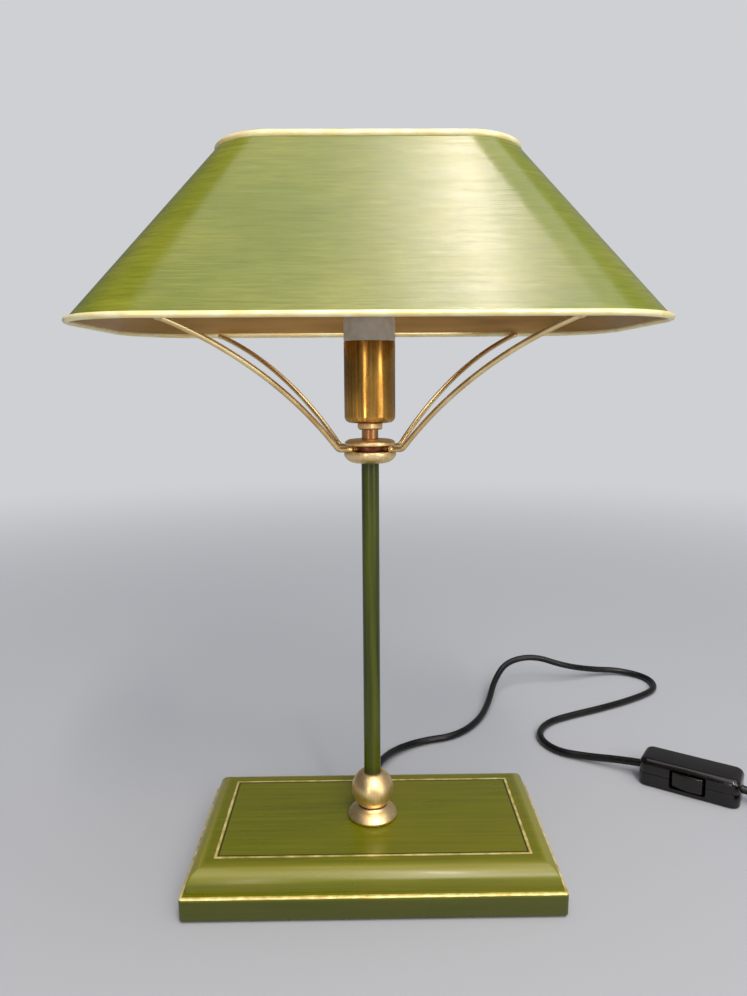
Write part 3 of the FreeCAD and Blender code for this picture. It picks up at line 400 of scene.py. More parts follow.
lacquer = Finish("green lacquer on wood", Roughness=0.3, Coat_Weight=0.15, Coat_Roughness=0.12,
                 Specular_IOR_Level=0.42)
x, y, z = lacquer.axes()
on_edge = lacquer.sum("MAXIMUM", lacquer.sum("SUBTRACT", lacquer.sum("ABSOLUTE", x), base_w / 2 * mm),
                      lacquer.sum("SUBTRACT", lacquer.sum("ABSOLUTE", y), base_d / 2 * mm))
over_x = lacquer.sum("SUBTRACT", lacquer.sum("ABSOLUTE", x), 88.6 * mm)
over_y = lacquer.sum("SUBTRACT", lacquer.sum("ABSOLUTE", y), 40.1 * mm)
to_line = lacquer.sum("MAXIMUM", over_x, over_y)
wander = lacquer.grain((90, 90, 90), 2, 0.0, 1.0)
line_w = lacquer.between(wander, 0.2, 0.8, 0.5 * mm, 0.95 * mm)
on_line = lacquer.sum("LESS_THAN", lacquer.sum("ABSOLUTE", to_line), line_w)
on_top = lacquer.sum("GREATER_THAN", z, (base_top - 0.1) * mm)
inlay = lacquer.sum("MULTIPLY", on_line, on_top)
shadow_line = lacquer.sum("LESS_THAN", lacquer.sum(
    "ABSOLUTE", lacquer.sum("ADD", to_line, 1.5 * mm)), 0.4 * mm)
shadow_line = lacquer.sum("MULTIPLY", shadow_line, on_top)
edge_width = lacquer.between(wander, 0.2, 0.8, -2.1 * mm, -1.6 * mm)
edge_height = lacquer.between(wander, 0.2, 0.8, (plinth_top - 1.1) * mm, (plinth_top - 0.7) * mm)
ledge = lacquer.sum("MULTIPLY", lacquer.sum("GREATER_THAN", on_edge, edge_width),
                    lacquer.sum("GREATER_THAN", z, edge_height))
gold = lacquer.sum("MAXIMUM", inlay, ledge)
brush = lacquer.grain((14, 500, 500), 3, 0.25, 0.75)
cloud = lacquer.grain((18, 30, 18), 3, 0.3, 0.7)
green = lacquer.blend(brush, colour(88, 94, 2), colour(112, 117, 8))
green = lacquer.blend(lacquer.sum("MULTIPLY", cloud, 0.45), green, colour(116, 108, 14))
# Painted shade: the plinth's sides below the ledge are painted darker, toward a deep green.
plinth_painted_shade = lacquer.between(z, 12.5 * mm, (plinth_top - 0.6) * mm, 0.75, 0.0)
green = lacquer.blend(plinth_painted_shade, green, colour(50, 58, 1))
# Painted highlight: a paler band along the upper curve of the moulding stands in for the light it catches.
moulding_painted_highlight = lacquer.sum("MULTIPLY", lacquer.between(z, 20.5 * mm, 24.5 * mm, 0.0, 0.6),
                   lacquer.between(z, 26.6 * mm, 27.35 * mm, 1.0, 0.0))
green = lacquer.blend(moulding_painted_highlight, green, colour(150, 144, 62))
green = lacquer.blend(shadow_line, green, colour(48, 50, 14))
leaf = lacquer.blend(lacquer.grain((160, 160, 400), 3, 0.3, 0.7),
                     colour(186, 160, 76), colour(250, 234, 158))
lacquer.colour_from(lacquer.blend(gold, green, leaf))
lacquer.wire(lacquer.sum("MULTIPLY", gold, 0.35), lacquer.shader.inputs["Metallic"])
lacquer.roughness_from(lacquer.blend(gold, lacquer.between(cloud, 0, 1, 0.24, 0.36), 0.4, "FLOAT"))
lacquer.relief((lacquer.grain((20, 20, 20), 1, 0, 1), 0.5 * mm), (brush, 0.012 * mm),
               (gold, 0.06 * mm))
base.data.materials.append(lacquer.material)
fitted(base, "stand", "green_lacquer_wood", "base_board")

# ---------------------------------------------------------------- felt and ballast
# A dark felt pad is glued under the plinth. Inside it, two steel plates are screwed up
# into recesses of the wood, and a clamp holds the lead. These keep their shapes.
def dress(material, *nodes):
    """Gives carried-over pieces their finish."""
    for node in nodes:
        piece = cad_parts[node]
        piece.data.materials.clear()
        piece.data.materials.append(material)


felt = Finish("dark felt", Roughness=0.95, Sheen_Weight=0.3)
felt.colour_from(felt.blend(felt.grain((900, 900, 900), 3), colour(30, 34, 30),
                            colour(52, 57, 50)))
felt.relief((felt.grain((1500, 1500, 1500), 2), 0.2 * mm))
dress(felt.material, "felt_pad")

plate_steel = Finish("rolled steel", Metallic=1.0, Roughness=0.45)
plate_steel.colour_from(plate_steel.blend(plate_steel.grain((20, 400, 400), 3),
                                          colour(96, 96, 98), colour(132, 132, 136)))
plate_steel.roughness_from(plate_steel.between(plate_steel.grain((60, 60, 60)), 0, 1, 0.35, 0.6))
dress(plate_steel.material, "ballast_plate_left", "ballast_plate_right", "lead_clamp")

zinc = Finish("zinc-plated steel", Metallic=1.0, Roughness=0.3)
zinc.colour_from(zinc.blend(zinc.grain((300, 300, 300)), colour(168, 172, 180),
                            colour(196, 194, 182)))
zinc.roughness_from(zinc.between(zinc.grain((500, 500, 500)), 0, 1, 0.22, 0.42))
dress(zinc.material, "ballast_screws", "lead_clamp_screws", "stem_washer", "stem_nut",
      "holder_nut", "switch_screws", "terminal_screws", "switch_rocker_pin")


# ---------------------------------------------------------------- foot flange and ball
# A turned brass saucer seats on the base, and a turned brass ball stands on it, both
# threaded over the stem. They are lacquered brass with a soft satin from the lathe.
def turned(name, outline, sides=96, crisp=0.12):
    """Lathe-turned ring about Z: a circle drawn round a closed outline of (radius, height)."""
    bpy.ops.object.select_all(action="DESELECT")
    radius, height = outline[0]
    bpy.ops.mesh.primitive_circle_add(vertices=sides, radius=radius * mm, fill_type="NOTHING",
                                      location=(0, 0, height * mm))
    piece = bpy.context.object
    piece.name = name
    bpy.ops.object.mode_set(mode="EDIT")
    bpy.ops.mesh.select_mode(type="VERT")
    bpy.ops.mesh.select_all(action="SELECT")
    for (r0, z0), (r1, z1) in zip(outline, outline[1:] + outline[:1]):
        bpy.ops.mesh.extrude_region_move(TRANSFORM_OT_translate={"value": (0, 0, (z1 - z0) * mm)})
        bpy.ops.transform.resize(value=(r1 / r0, r1 / r0, 1), center_override=(0, 0, z1 * mm))
    bpy.ops.mesh.select_all(action="SELECT")
    bpy.ops.mesh.remove_doubles(threshold=0.002 * mm)
    bpy.ops.mesh.normals_make_consistent(inside=False)
    bpy.ops.object.mode_set(mode="OBJECT")
    if crisp:
        worked(piece, "BEVEL", width=crisp * mm, segments=2, limit_method="ANGLE",
               angle_limit=math.radians(32))
    settled(piece, 40)
    return piece


def bow(start, through, end, steps=10):
    """Points of the circular arc from start through a middle point to end."""
    (ax, ay), (bx, by), (cx, cy) = start, through, end
    d = 2 * (ax * (by - cy) + bx * (cy - ay) + cx * (ay - by))
    ux = ((ax * ax + ay * ay) * (by - cy) + (bx * bx + by * by) * (cy - ay)
          + (cx * cx + cy * cy) * (ay - by)) / d
    uy = ((ax * ax + ay * ay) * (cx - bx) + (bx * bx + by * by) * (ax - cx)
          + (cx * cx + cy * cy) * (bx - ax)) / d
    first = math.atan2(ay - uy, ax - ux)
    middle = (math.atan2(by - uy, bx - ux) - first) % (2 * math.pi)
    last = (math.atan2(cy - uy, cx - ux) - first) % (2 * math.pi)
    if middle > last:
        last -= 2 * math.pi
    r = math.hypot(ax - ux, ay - uy)
    return [(ux + r * math.cos(first + last * s / steps), uy + r * math.sin(first + last * s / steps))
            for s in range(steps + 1)]


foot_outline = ([(5.05, 27.4)] + bow((13.2, 27.4), (14.5, 28.28), (15.0, 29.6), 6)
                + bow((15.0, 29.6), (13.4, 31.7), (9.4, 34.5), 8)[1:]
                + [(8.6, 35.7), (5.05, 35.7)])
foot = turned("brass_foot", foot_outline)
ball_z = 35.7 + math.sqrt(12.6 ** 2 - 8.1 ** 2)
ball_low = math.asin((35.7 - ball_z) / 12.6)
ball_high = math.acos(6.2 / 12.6)
ball_outline = [(12.6 * math.cos(ball_low + (ball_high - ball_low) * s / 24),
                 ball_z + 12.6 * math.sin(ball_low + (ball_high - ball_low) * s / 24))
                for s in range(25)]
ball = turned("brass_ball", [(5.05, 35.7)] + ball_outline + [(5.05, ball_outline[-1][1])])

brass = Finish("satin brass", Metallic=1.0, Roughness=0.3)
lathe = brass.grain((900, 900, 45), 3, 0.25, 0.75)
patina = brass.grain((110, 110, 60), 3, 0.35, 0.7)
tone = brass.blend(lathe, colour(236, 200, 136), colour(255, 234, 182))
tone = brass.blend(brass.sum("MULTIPLY", patina, 0.35), tone, colour(214, 158, 104))
x, y, z = brass.axes()
# Painted shade: a dark ring is painted where the ball sits on the foot.
from_crease = brass.sum("ABSOLUTE", brass.sum("SUBTRACT", z, 35.8 * mm))
brass.colour_from(brass.blend(brass.between(from_crease, 0.2 * mm, 0.9 * mm, 0.85, 0.0), tone,
                              colour(74, 40, 22)))
brass.roughness_from(brass.between(patina, 0, 1, 0.34, 0.46))
brass.relief((brass.grain((90, 90, 90), 2), 0.03 * mm), (lathe, 0.003 * mm))
for piece, node in ((foot, "foot_flange"), (ball, "ball_collar")):
    piece.data.materials.append(brass.material)
    fitted(piece, "stand", "brass", node)

# ---------------------------------------------------------------- stem
# The 10 mm steel tube that holds everything together, clamped under the base. Its bare
# length is painted green like the base; above the hub the thread is brass-coloured.
stem = turned("painted_stem", [
    (4.0, 14.8), (5.0, 14.8), (5.0, 56.6), (4.95, 57.2), (5.0, 58.0), (5.0, 244.3), (5.0, 251.2),
    (5.0, 257.4), (4.7, 257.7), (4.7, 263.0), (5.0, 263.3), (5.0, 272.2), (4.8, 272.5),
    (4.0, 272.5)], sides=64, crisp=0)
stem_paint = Finish("green paint on the stem", Roughness=0.3, Specular_IOR_Level=0.36)
x, y, z = stem_paint.axes()
neck = stem_paint.sum("GREATER_THAN", z, 250.0 * mm)
stroke = stem_paint.grain((260, 260, 10), 3, 0.3, 0.7)
green = stem_paint.blend(stroke, colour(40, 49, 1), colour(80, 88, 2))
# Painted shade: the stem is painted darker just above the ball, where it meets it.
stem_foot_painted_shade = stem_paint.between(z, 56.0 * mm, 62.0 * mm, 0.75, 0.0)
green = stem_paint.blend(stem_foot_painted_shade, green, colour(38, 46, 14))
copper = stem_paint.blend(stroke, colour(142, 84, 52), colour(226, 178, 118))
stem_paint.colour_from(stem_paint.blend(neck, green, copper))
stem_paint.wire(neck, stem_paint.shader.inputs["Metallic"])
stem_paint.roughness_from(stem_paint.blend(neck, 0.24, 0.34, "FLOAT"))
stem_paint.relief((stroke, 0.02 * mm), (stem_paint.grain((60, 60, 60), 2), 0.12 * mm))
stem.data.materials.append(stem_paint.material)
fitted(stem, "stand", "green_lacquer_metal", "stem_tube")

# ---------------------------------------------------------------- hub
# A brass dish and a brass disc on the stem hold the shade's carrier between them, and a
# six-sided locknut above them carries the lampholder.
dish_outline = ([(5.0, 244.5)] + bow((6.8, 244.5), (12.56, 245.73), (14.8, 248.6), 8)
                + [(14.8, 250.5), (14.3, 251.0), (12.6, 251.0), (12.2, 250.7), (5.0, 250.7)])
dish = turned("brass_dish", dish_outline)
disc_outline = ([(5.0, 254.3), (13.7, 254.3), (14.2, 254.8)]
                + bow((14.2, 256.1), (13.0, 257.0), (10.5, 257.5), 6) + [(5.0, 257.5)])
disc = turned("brass_disc", disc_outline)
locknut = turned("brass_locknut", [(4.7, 263.1), (7.0, 263.1), (7.8, 263.9), (7.8, 266.5),
                                   (7.4, 266.9), (4.7, 266.9)], sides=6, crisp=0.15)
locknut.data.transform(Matrix.Rotation(math.radians(4), 4, "Z"))
for piece, node in ((dish, "hub_dish"), (disc, "hub_disc"), (locknut, "hub_locknut")):
    piece.data.materials.append(brass.material)
    fitted(piece, "stand", "brass", node)

# ---------------------------------------------------------------- carrier of the shade
# Four 3 mm brass wires are soldered to a ring that turns between dish and disc. They run
# level out of the hub, bend up and sweep out to the shade's lower rim, soldered there.
arm_r, arm_z = 1.5, 252.65
bend_at, bend_r, rise = 20.0, 5.0, math.radians(48)
arm_end_x, arm_end_y, arm_end_z = 96.3623, 76.65, 319.6


def wire_arm(name, azimuth):
    """One wire arm with a solder blob at each end."""
    reach = math.hypot(arm_end_x, arm_end_y)
    start_x = bend_at + bend_r * math.sin(rise)
    start_z = arm_z + bend_r * (1 - math.cos(rise))
    chord = math.atan2(arm_end_z - start_z, reach - start_x)
    fall = 2 * chord - rise
    sweep = (reach - start_x) / (math.sin(rise) - math.sin(fall))
    line = [(6.5, arm_z), (12.0, arm_z)]
    line += [(bend_at + bend_r * math.sin(rise * s / 8),
              arm_z + bend_r * (1 - math.cos(rise * s / 8))) for s in range(9)]
    for s in range(1, 25):
        slope = rise + (fall - rise) * s / 24
        line.append((start_x + sweep * (math.sin(rise) - math.sin(slope)),
                     start_z + sweep * (math.cos(slope) - math.cos(rise))))
    data = bpy.data.curves.new(name, "CURVE")
    data.dimensions = "3D"
    spline = data.splines.new("POLY")
    spline.points.add(len(line) - 1)
    for point, (r, h) in zip(spline.points, line):
        point.co = (r * math.cos(azimuth) * mm, r * math.sin(azimuth) * mm, h * mm, 1)
    data.bevel_depth = arm_r * mm
    data.bevel_resolution = 5
    data.use_fill_caps = True
    arm = bpy.data.objects.new(name, data)
    bpy.context.scene.collection.objects.link(arm)
    shape_ready(arm)
    bpy.ops.object.convert(target="MESH")
    arm = bpy.context.object
    blobs = []
    for r, h, size in ((14.6, arm_z - 0.1, (2.6, 2.3, 1.55)), (reach - 0.6, arm_end_z - 0.3, (2.6, 1.9, 1.7))):
        bpy.ops.object.select_all(action="DESELECT")
        bpy.ops.mesh.primitive_uv_sphere_add(segments=20, ring_count=12, radius=1)
        blob = bpy.context.object
        blob.data.transform(Matrix.Translation((r * math.cos(azimuth) * mm, r * math.sin(azimuth) * mm, h * mm))
                            @ Matrix.Rotation(azimuth, 4, "Z") @ Matrix.Diagonal([s * mm for s in size] + [1]))
        blobs.append(blob)
    shape_ready(arm)
    for blob in blobs:
        blob.select_set(True)
    bpy.ops.object.join()
    arm.name = name
    settled(arm, 50)
    return arm


arm_angle = math.atan2(arm_end_y, arm_end_x)
wire = Finish("brass wire", Metallic=0.9, Roughness=0.3)
pull = wire.grain((55, 55, 55), 2, 0.3, 0.7)
wire.colour_from(wire.blend(pull, colour(212, 174, 112), colour(250, 226, 170)))
wire.roughness_from(wire.between(pull, 0, 1, 0.2, 0.36))
wire.relief((wire.grain((70, 70, 70), 2), 0.02 * mm))
arms = {}
for name, angle in (("front_left", math.pi + arm_angle), ("front_right", -arm_angle),
                    ("back_left", math.pi - arm_angle), ("back_right", arm_angle)):
    arm = wire_arm("wire_arm_" + name, angle)
    arm.data.materials.append(wire.material)
    fitted(arm, "shade", "brass_wire", "carrier_arm_" + name)
    arms[name] = arm

ring = turned("carrier_turning_ring", [(5.05, 251.15), (10.0, 251.15), (10.0, 254.15), (5.05, 254.15)])
# Painted shade: the ring is coloured a dark red-brown for the shade in the gap between dish and disc.
gap_shaded_brass = Finish("brass with painted gap shade", Metallic=1.0, Roughness=0.42)
gap_shaded_brass.colour_from(gap_shaded_brass.blend(gap_shaded_brass.grain((200, 200, 60)), colour(84, 46, 38),
                                        colour(124, 78, 60)))
gap_shaded_brass.relief((gap_shaded_brass.grain((400, 400, 400)), 0.03 * mm))
ring.data.materials.append(gap_shaded_brass.material)
fitted(ring, "shade", "brass", "carrier_ring")


# ---------------------------------------------------------------- shade
# Rolled sheet metal: a flat-sided oval skin that leans in to the top, with a rolled bead
# along each edge. Hand-brushed green lacquer outside, bronze paint inside, gilt beads.
def oval(name, width, depth, corner, height, segments=24):
    """Closed line round a rectangle with round corners, level at one height."""
    bpy.ops.object.select_all(action="DESELECT")
    bpy.ops.mesh.primitive_plane_add(size=1, location=(0, 0, height * mm),
                                     scale=(1, 1, 1))
    piece = bpy.context.object
    piece.name = name
    bpy.ops.object.mode_set(mode="EDIT")
    bpy.ops.mesh.select_mode(type="VERT")
    bpy.ops.mesh.select_all(action="SELECT")
    bpy.ops.transform.resize(value=(width * mm, depth * mm, 1), center_override=(0, 0, height * mm))
    bpy.ops.mesh.bevel(offset=corner * mm, segments=segments, affect="VERTICES",
                       clamp_overlap=False)
    bpy.ops.mesh.select_all(action="SELECT")
    bpy.ops.mesh.delete(type="ONLY_FACE")
    bpy.ops.object.mode_set(mode="OBJECT")
    shape_ready(piece)
    bpy.ops.object.transform_apply(location=True, rotation=True, scale=True)
    return piece


skin_z0, skin_z1 = 320.1, 407.1
skin = oval("shade_sheet", 303.0, 158.0, 46.0, skin_z0)
upper_edge = oval("upper edge", 155.0, 88.0, 31.0, skin_z1)
shape_ready(skin)
upper_edge.select_set(True)
bpy.ops.object.join()
bpy.ops.object.mode_set(mode="EDIT")
bpy.ops.mesh.select_mode(type="EDGE")
bpy.ops.mesh.select_all(action="SELECT")
bpy.ops.mesh.bridge_edge_loops(number_cuts=10, interpolation="LINEAR")
bpy.ops.mesh.select_all(action="SELECT")
bpy.ops.mesh.normals_make_consistent(inside=False)
bpy.ops.object.mode_set(mode="OBJECT")
front = min(skin.data.polygons, key=lambda face: face.center.y)
if front.normal.y > 0:
    skin.data.flip_normals()
skin.data.materials.append(None)
skin.data.materials.append(None)
worked(skin, "SOLIDIFY", thickness=0.9 * mm, offset=-1, use_even_offset=True, material_offset=1)
settled(skin, 30)

shade_lacquer = Finish("brushed green lacquer", Roughness=0.26, Coat_Weight=0.35, Coat_Roughness=0.18)
x, y, z = shade_lacquer.axes()
streak = shade_lacquer.grain((60, 60, 1300), 3, 0.3, 0.7)
linen = shade_lacquer.grain((900, 900, 30), 2, 0.35, 0.65)
wide_streak = shade_lacquer.grain((14, 14, 420), 3, 0.3, 0.7)
cloud = shade_lacquer.grain((22, 22, 26), 3, 0.35, 0.7)
green = shade_lacquer.blend(streak, colour(108, 116, 16), colour(138, 142, 38))
green = shade_lacquer.blend(shade_lacquer.sum("MULTIPLY", wide_streak, 0.2), green, colour(156, 150, 54))
green = shade_lacquer.blend(shade_lacquer.sum("MULTIPLY", cloud, 0.65), green, colour(98, 114, 10))
shade_lacquer.colour_from(green)
shade_lacquer.roughness_from(shade_lacquer.between(wide_streak, 0, 1, 0.22, 0.32))
shade_lacquer.relief((streak, 0.05 * mm), (wide_streak, 0.06 * mm), (linen, 0.008 * mm))
inner_paint = Finish("bronze paint", Metallic=0.55, Roughness=0.42)
inner_paint.colour_from(inner_paint.blend(inner_paint.grain((12, 12, 120), 3),
                                          colour(150, 112, 60), colour(186, 146, 84)))
inner_paint.relief((inner_paint.grain((300, 300, 300), 2), 0.05 * mm))
skin.data.materials[0] = shade_lacquer.material
skin.data.materials[1] = inner_paint.material
fitted(skin, "shade", "green_lacquer_metal", "shade_skin")

gilt = Finish("gilt bead", Metallic=0.15, Roughness=0.36)
rub = gilt.grain((90, 90, 260), 3, 0.35, 0.65)
gilt.colour_from(gilt.blend(rub, colour(250, 226, 156), colour(255, 250, 202)))
gilt.roughness_from(gilt.between(rub, 0, 1, 0.28, 0.42))
gilt.relief((gilt.grain((400, 400, 400), 2), 0.06 * mm))


def bead(name, width, depth, corner, height, radius, node):
    """Rolled bead: a round tube along the oval."""
    piece = oval(name, width - 0.9, depth - 0.9, corner - 0.45, height)
    shape_ready(piece)
    bpy.ops.object.convert(target="CURVE")
    curve = bpy.context.object
    curve.data.bevel_depth = radius * mm
    curve.data.bevel_resolution = 5
    bpy.ops.object.convert(target="MESH")
    piece = bpy.context.object
    piece.name = name
    bpy.ops.object.mode_set(mode="EDIT")
    bpy.ops.mesh.select_all(action="SELECT")
    bpy.ops.mesh.normals_make_consistent(inside=False)
    bpy.ops.object.mode_set(mode="OBJECT")
    settled(piece, 60)
    piece.data.materials.clear()
    piece.data.materials.append(gilt.material)
    fitted(piece, "shade", "gold_paint", node)


bead("gilt_bead_low", 303.0, 158.0, 46.0, skin_z0, 1.6, "shade_bottom_rim")
bead("gilt_bead_high", 155.0, 88.0, 31.0, skin_z1, 1.9, "shade_top_rim")

# ---------------------------------------------------------------- lampholder
# A small screw-cap holder: a drawn brass sleeve with a round bottom, a pale insert whose
# collar carries a plain band, and a thin threaded shell for the bulb's cap.
sleeve_outline = ([(4.7, 266.9)] + bow((10.8, 266.9), (13.275, 267.925), (14.3, 270.4), 8)
                  + [(14.3, 311.4), (14.1, 311.7), (13.5, 311.7), (13.5, 271.1)]
                  + bow((13.5, 271.1), (12.71, 269.19), (10.8, 268.4), 6)[1:] + [(4.7, 268.4)])
sleeve = turned("brass_sleeve", sleeve_outline)
aged = Finish("antique brass", Metallic=1.0, Roughness=0.28)
drawn = aged.grain((700, 700, 20), 3, 0.3, 0.7)
tarnish = aged.grain((90, 90, 45), 3, 0.35, 0.7)
tone = aged.blend(drawn, colour(168, 114, 44), colour(228, 176, 90))
aged.colour_from(aged.blend(aged.sum("MULTIPLY", tarnish, 0.6), tone, colour(116, 82, 34)))
aged.roughness_from(aged.between(tarnish, 0, 1, 0.2, 0.34))
aged.relief((drawn, 0.006 * mm), (aged.grain((60, 60, 60), 2), 0.03 * mm))
sleeve.data.materials.append(aged.material)
fitted(sleeve, "stand", "antique_brass", "holder_sleeve")

band = turned("plain_band", [(13.9, 312.1), (14.3, 312.1), (14.3, 323.6), (13.9, 323.6)], crisp=0.08)
pale = Finish("pale plastic", Roughness=0.4, Subsurface_Weight=0.15)
pale.shader.inputs["Subsurface Radius"].default_value = (0.004, 0.003, 0.002)
pale.colour_from(pale.blend(pale.grain((180, 180, 180)), colour(190, 178, 158),
                            colour(214, 204, 188)))
pale.relief((pale.grain((900, 900, 900)), 0.02 * mm))
band.data.materials.append(pale.material)
fitted(band, "stand", "pale_plastic")
dress(pale.material, "holder_insert")

thread = []
for turn in range(6):
    low = 302.0 + turn * 2.8
    thread += [(7.45, low), (7.42, low + 0.5), (7.1, low + 1.1), (7.05, low + 1.4), (7.1, low + 1.7),
               (7.42, low + 2.3)]
shell = turned("threaded_shell", [(7.0, 301.0)] + [(r - 0.25, h) for r, h in thread]
               + [(7.0, 321.5), (7.5, 321.5), (7.5, 301.0)], crisp=0)
shell.data.materials.append(brass.material)
fitted(shell, "stand", "brass", "screw_shell")

copper_wire = Finish("bright copper", Metallic=1.0, Roughness=0.3)
copper_wire.colour_from(copper_wire.blend(copper_wire.grain((600, 600, 600)), colour(184, 104, 62),
                                          colour(216, 138, 92)))
dress(copper_wire.material, "lead_cores", "centre_contact", "terminals", "switch_contacts")
lead_skin = Finish("clear golden lead", Roughness=0.35)
lead_skin.colour_from(lead_skin.blend(lead_skin.grain((300, 300, 300)), colour(196, 168, 104),
                                      colour(218, 194, 134)))
dress(lead_skin.material, "inner_lead")

# ---------------------------------------------------------------- cord
# Two metres of round black flex, less what the lamp holds: from the bush behind the base
# it runs in loose curves over the floor to the in-line switch, and on to a neat coil that
# is tied with a strap, and the plug.
cord_r = 2.8
pvc = Finish("black flex", Roughness=0.25, Specular_IOR_Level=0.35)
dull = pvc.grain((60, 60, 60), 3, 0.3, 0.7)
pvc.colour_from(pvc.blend(dull, colour(8, 7, 7), colour(18, 16, 16)))
pvc.roughness_from(pvc.between(dull, 0, 1, 0.22, 0.36))
pvc.relief((pvc.grain((220, 220, 220), 2), 0.06 * mm))


def flex(name, route):
    """Cord along given points, in millimetres."""
    data = bpy.data.curves.new(name, "CURVE")
    data.dimensions = "3D"
    data.resolution_u = 8
    data.bevel_depth = cord_r * mm
    data.bevel_resolution = 5
    data.use_fill_caps = True
    spline = data.splines.new("NURBS")
    spline.points.add(len(route) - 1)
    for point, place in zip(spline.points, route):
        point.co = [c * mm for c in place] + [1]
    spline.order_u = 3
    spline.use_endpoint_u = True
    piece = bpy.data.objects.new(name, data)
    bpy.context.scene.collection.objects.link(piece)
    data.materials.append(pvc.material)
    return piece


lamp_route = [
    (0, 79.5, 8), (5, 98, 8), (18, 124, 5), (41, 142.5, 3), (70, 150, 3), (93, 177, 3),
    (107, 211, 4.5), (117, 243, 11), (132, 263.5, 22), (160, 271, 25), (190, 269, 15),
    (221, 279, 7), (249, 284, 4), (272, 267, 3), (270, 240, 3), (244, 220, 3), (209, 201, 3),
    (177, 187, 3), (150, 173, 3), (136, 149, 3), (144, 123, 3), (167, 110.5, 4.5),
    (186, 99.3, 8), (202.5, 88.6, 10.2)]
lamp_flex = flex("flex_lamp_to_switch", lamp_route)

coil_x, coil_y, coil_r = 290.0, -9.5, 33.0
bundle_r, bundle_z = 4.85, 8.2
per_turn = 16
turns = 4 + 56 / 360
coil_route = [(254.1, 54.2, 10.2), (268, 46, 7.5), (286, 34.5, 5.5)]
count = round(turns * per_turn)
for i in range(count + 1):
    t = turns * i / count
    azimuth = math.radians(56 - 360 * t)
    lay = math.radians(-20 - 72 * t)
    r = coil_r * 1.0196 + bundle_r * math.cos(lay)
    coil_route.append((coil_x + r * math.cos(azimuth), coil_y + r * math.sin(azimuth),
                       bundle_z + bundle_r * math.sin(lay)))
coil_route += [(327.5, -22, 10.5), (325, -36, 8), (321.5, -46, 7), (321, -54, 7)]
coil_flex = flex("flex_switch_to_plug", coil_route)
fitted(lamp_flex, "stand", "black_pvc", "mains_cord_lamp_side")
fitted(coil_flex, "stand", "black_pvc", "mains_cord_coil_side", "cord_coil", "mains_cord_plug_side")


def along_y(piece, x, y, z):
    """Lays a turned piece along +Y, with its foot at a place in millimetres."""
    piece.data.transform(Matrix.Translation((x * mm, y * mm, z * mm))
                         @ Matrix.Rotation(-math.pi / 2, 4, "X"))


ribs = []
for rib in range(5):
    start = 12.6 + rib * 3.6
    r = 4.5 - 1.3 * (start - 11.5) / 20
    ribs += [(r, start), (r, start + 1.9), (r - 0.75, start + 2.3), (r - 0.8, start + 3.2)]
bush = turned("ribbed_bush", [(2.2, 0), (4.5, 0), (4.5, 9.5), (5.6, 9.5), (6.0, 9.9), (6.0, 11.1),
                              (5.6, 11.5), (4.5, 11.5)] + ribs + [(3.3, 30.6), (3.1, 31.5), (2.2, 31.5)],
              sides=48)
along_y(bush, 0, 48.0, 8.0)
bush.data.materials.append(pvc.material)
fitted(bush, "stand", "black_pvc", "cord_bush")

strap = turned("coil_strap", [(7.68, -2), (7.95, -2), (7.95, 2), (7.68, 2)], sides=48, crisp=0)
strap_at = math.radians(28)
strap.data.transform(Matrix.Translation(((coil_x + coil_r * math.cos(strap_at)) * mm,
                                         (coil_y + coil_r * math.sin(strap_at)) * mm, bundle_z * mm))
                     @ Matrix.Rotation(strap_at, 4, "Z") @ Matrix.Rotation(math.pi / 2, 4, "X"))
strap.data.materials.append(pvc.material)
fitted(strap, "stand", "black_pvc")

# ---------------------------------------------------------------- in-line switch
# A black moulded switch on the cord: two shells screwed together from below, with a
# rocker in its front side face. Its edges are well rounded and it is left without a mark.
switch_x, switch_y, switch_z = 228.3, 71.4, 0.2
switch_turn = math.radians(-33.7)
switch_l, switch_w, switch_h = 67.0, 27.0, 20.0


def lay_switch(piece):
    """Moves a piece from the switch's own axes to where the switch lies."""
    piece.data.transform(Matrix.Translation((switch_x * mm, switch_y * mm, switch_z * mm))
                         @ Matrix.Rotation(switch_turn, 4, "Z"))


def switch_shell(name, low, high, closed, edge_r, node):
    """One half of the body, hollow, with its openings for the cord and the rocker."""
    shell = block(name, (-switch_l / 2, -switch_w / 2, low), (switch_l / 2, switch_w / 2, high))
    pick(shell, "EDGE", is_upright)
    bpy.ops.mesh.bevel(offset=6.0 * mm, segments=8, affect="EDGES")
    pick(shell, "EDGE", lies_at(closed))
    bpy.ops.mesh.bevel(offset=edge_r * mm, segments=7, affect="EDGES")
    seam = high if closed == low else low
    pick(shell, "EDGE", lies_at(seam))
    bpy.ops.mesh.bevel(offset=0.35 * mm, segments=2, affect="EDGES")
    bpy.ops.object.mode_set(mode="OBJECT")
    inside_low, inside_high = (2.0, 12.0) if closed == low else (8.0, 18.0)
    cavity = block("cavity", (-29.5, -10.2, inside_low), (29.5, 10.2, inside_high))
    window = block("window", (-12.0, -30, 3.0), (12.0, -6.5, 17.0))
    pick(window, "EDGE", lambda edge: abs(edge.verts[0].co.y - edge.verts[1].co.y) > 5 * mm)
    bpy.ops.mesh.bevel(offset=1.5 * mm, segments=4, affect="EDGES")
    bpy.ops.object.mode_set(mode="OBJECT")
    bore = peg("bore", 3.2, -40, 40)
    bore.data.transform(Matrix.Translation((0, 0, 10 * mm)) @ Matrix.Rotation(math.pi / 2, 4, "Y"))
    carve(shell, cavity, window, bore)
    lay_switch(shell)
    settled(shell, 35)
    shell.data.materials.append(gloss.material)
    fitted(shell, "stand", "black_plastic", node)
    return shell


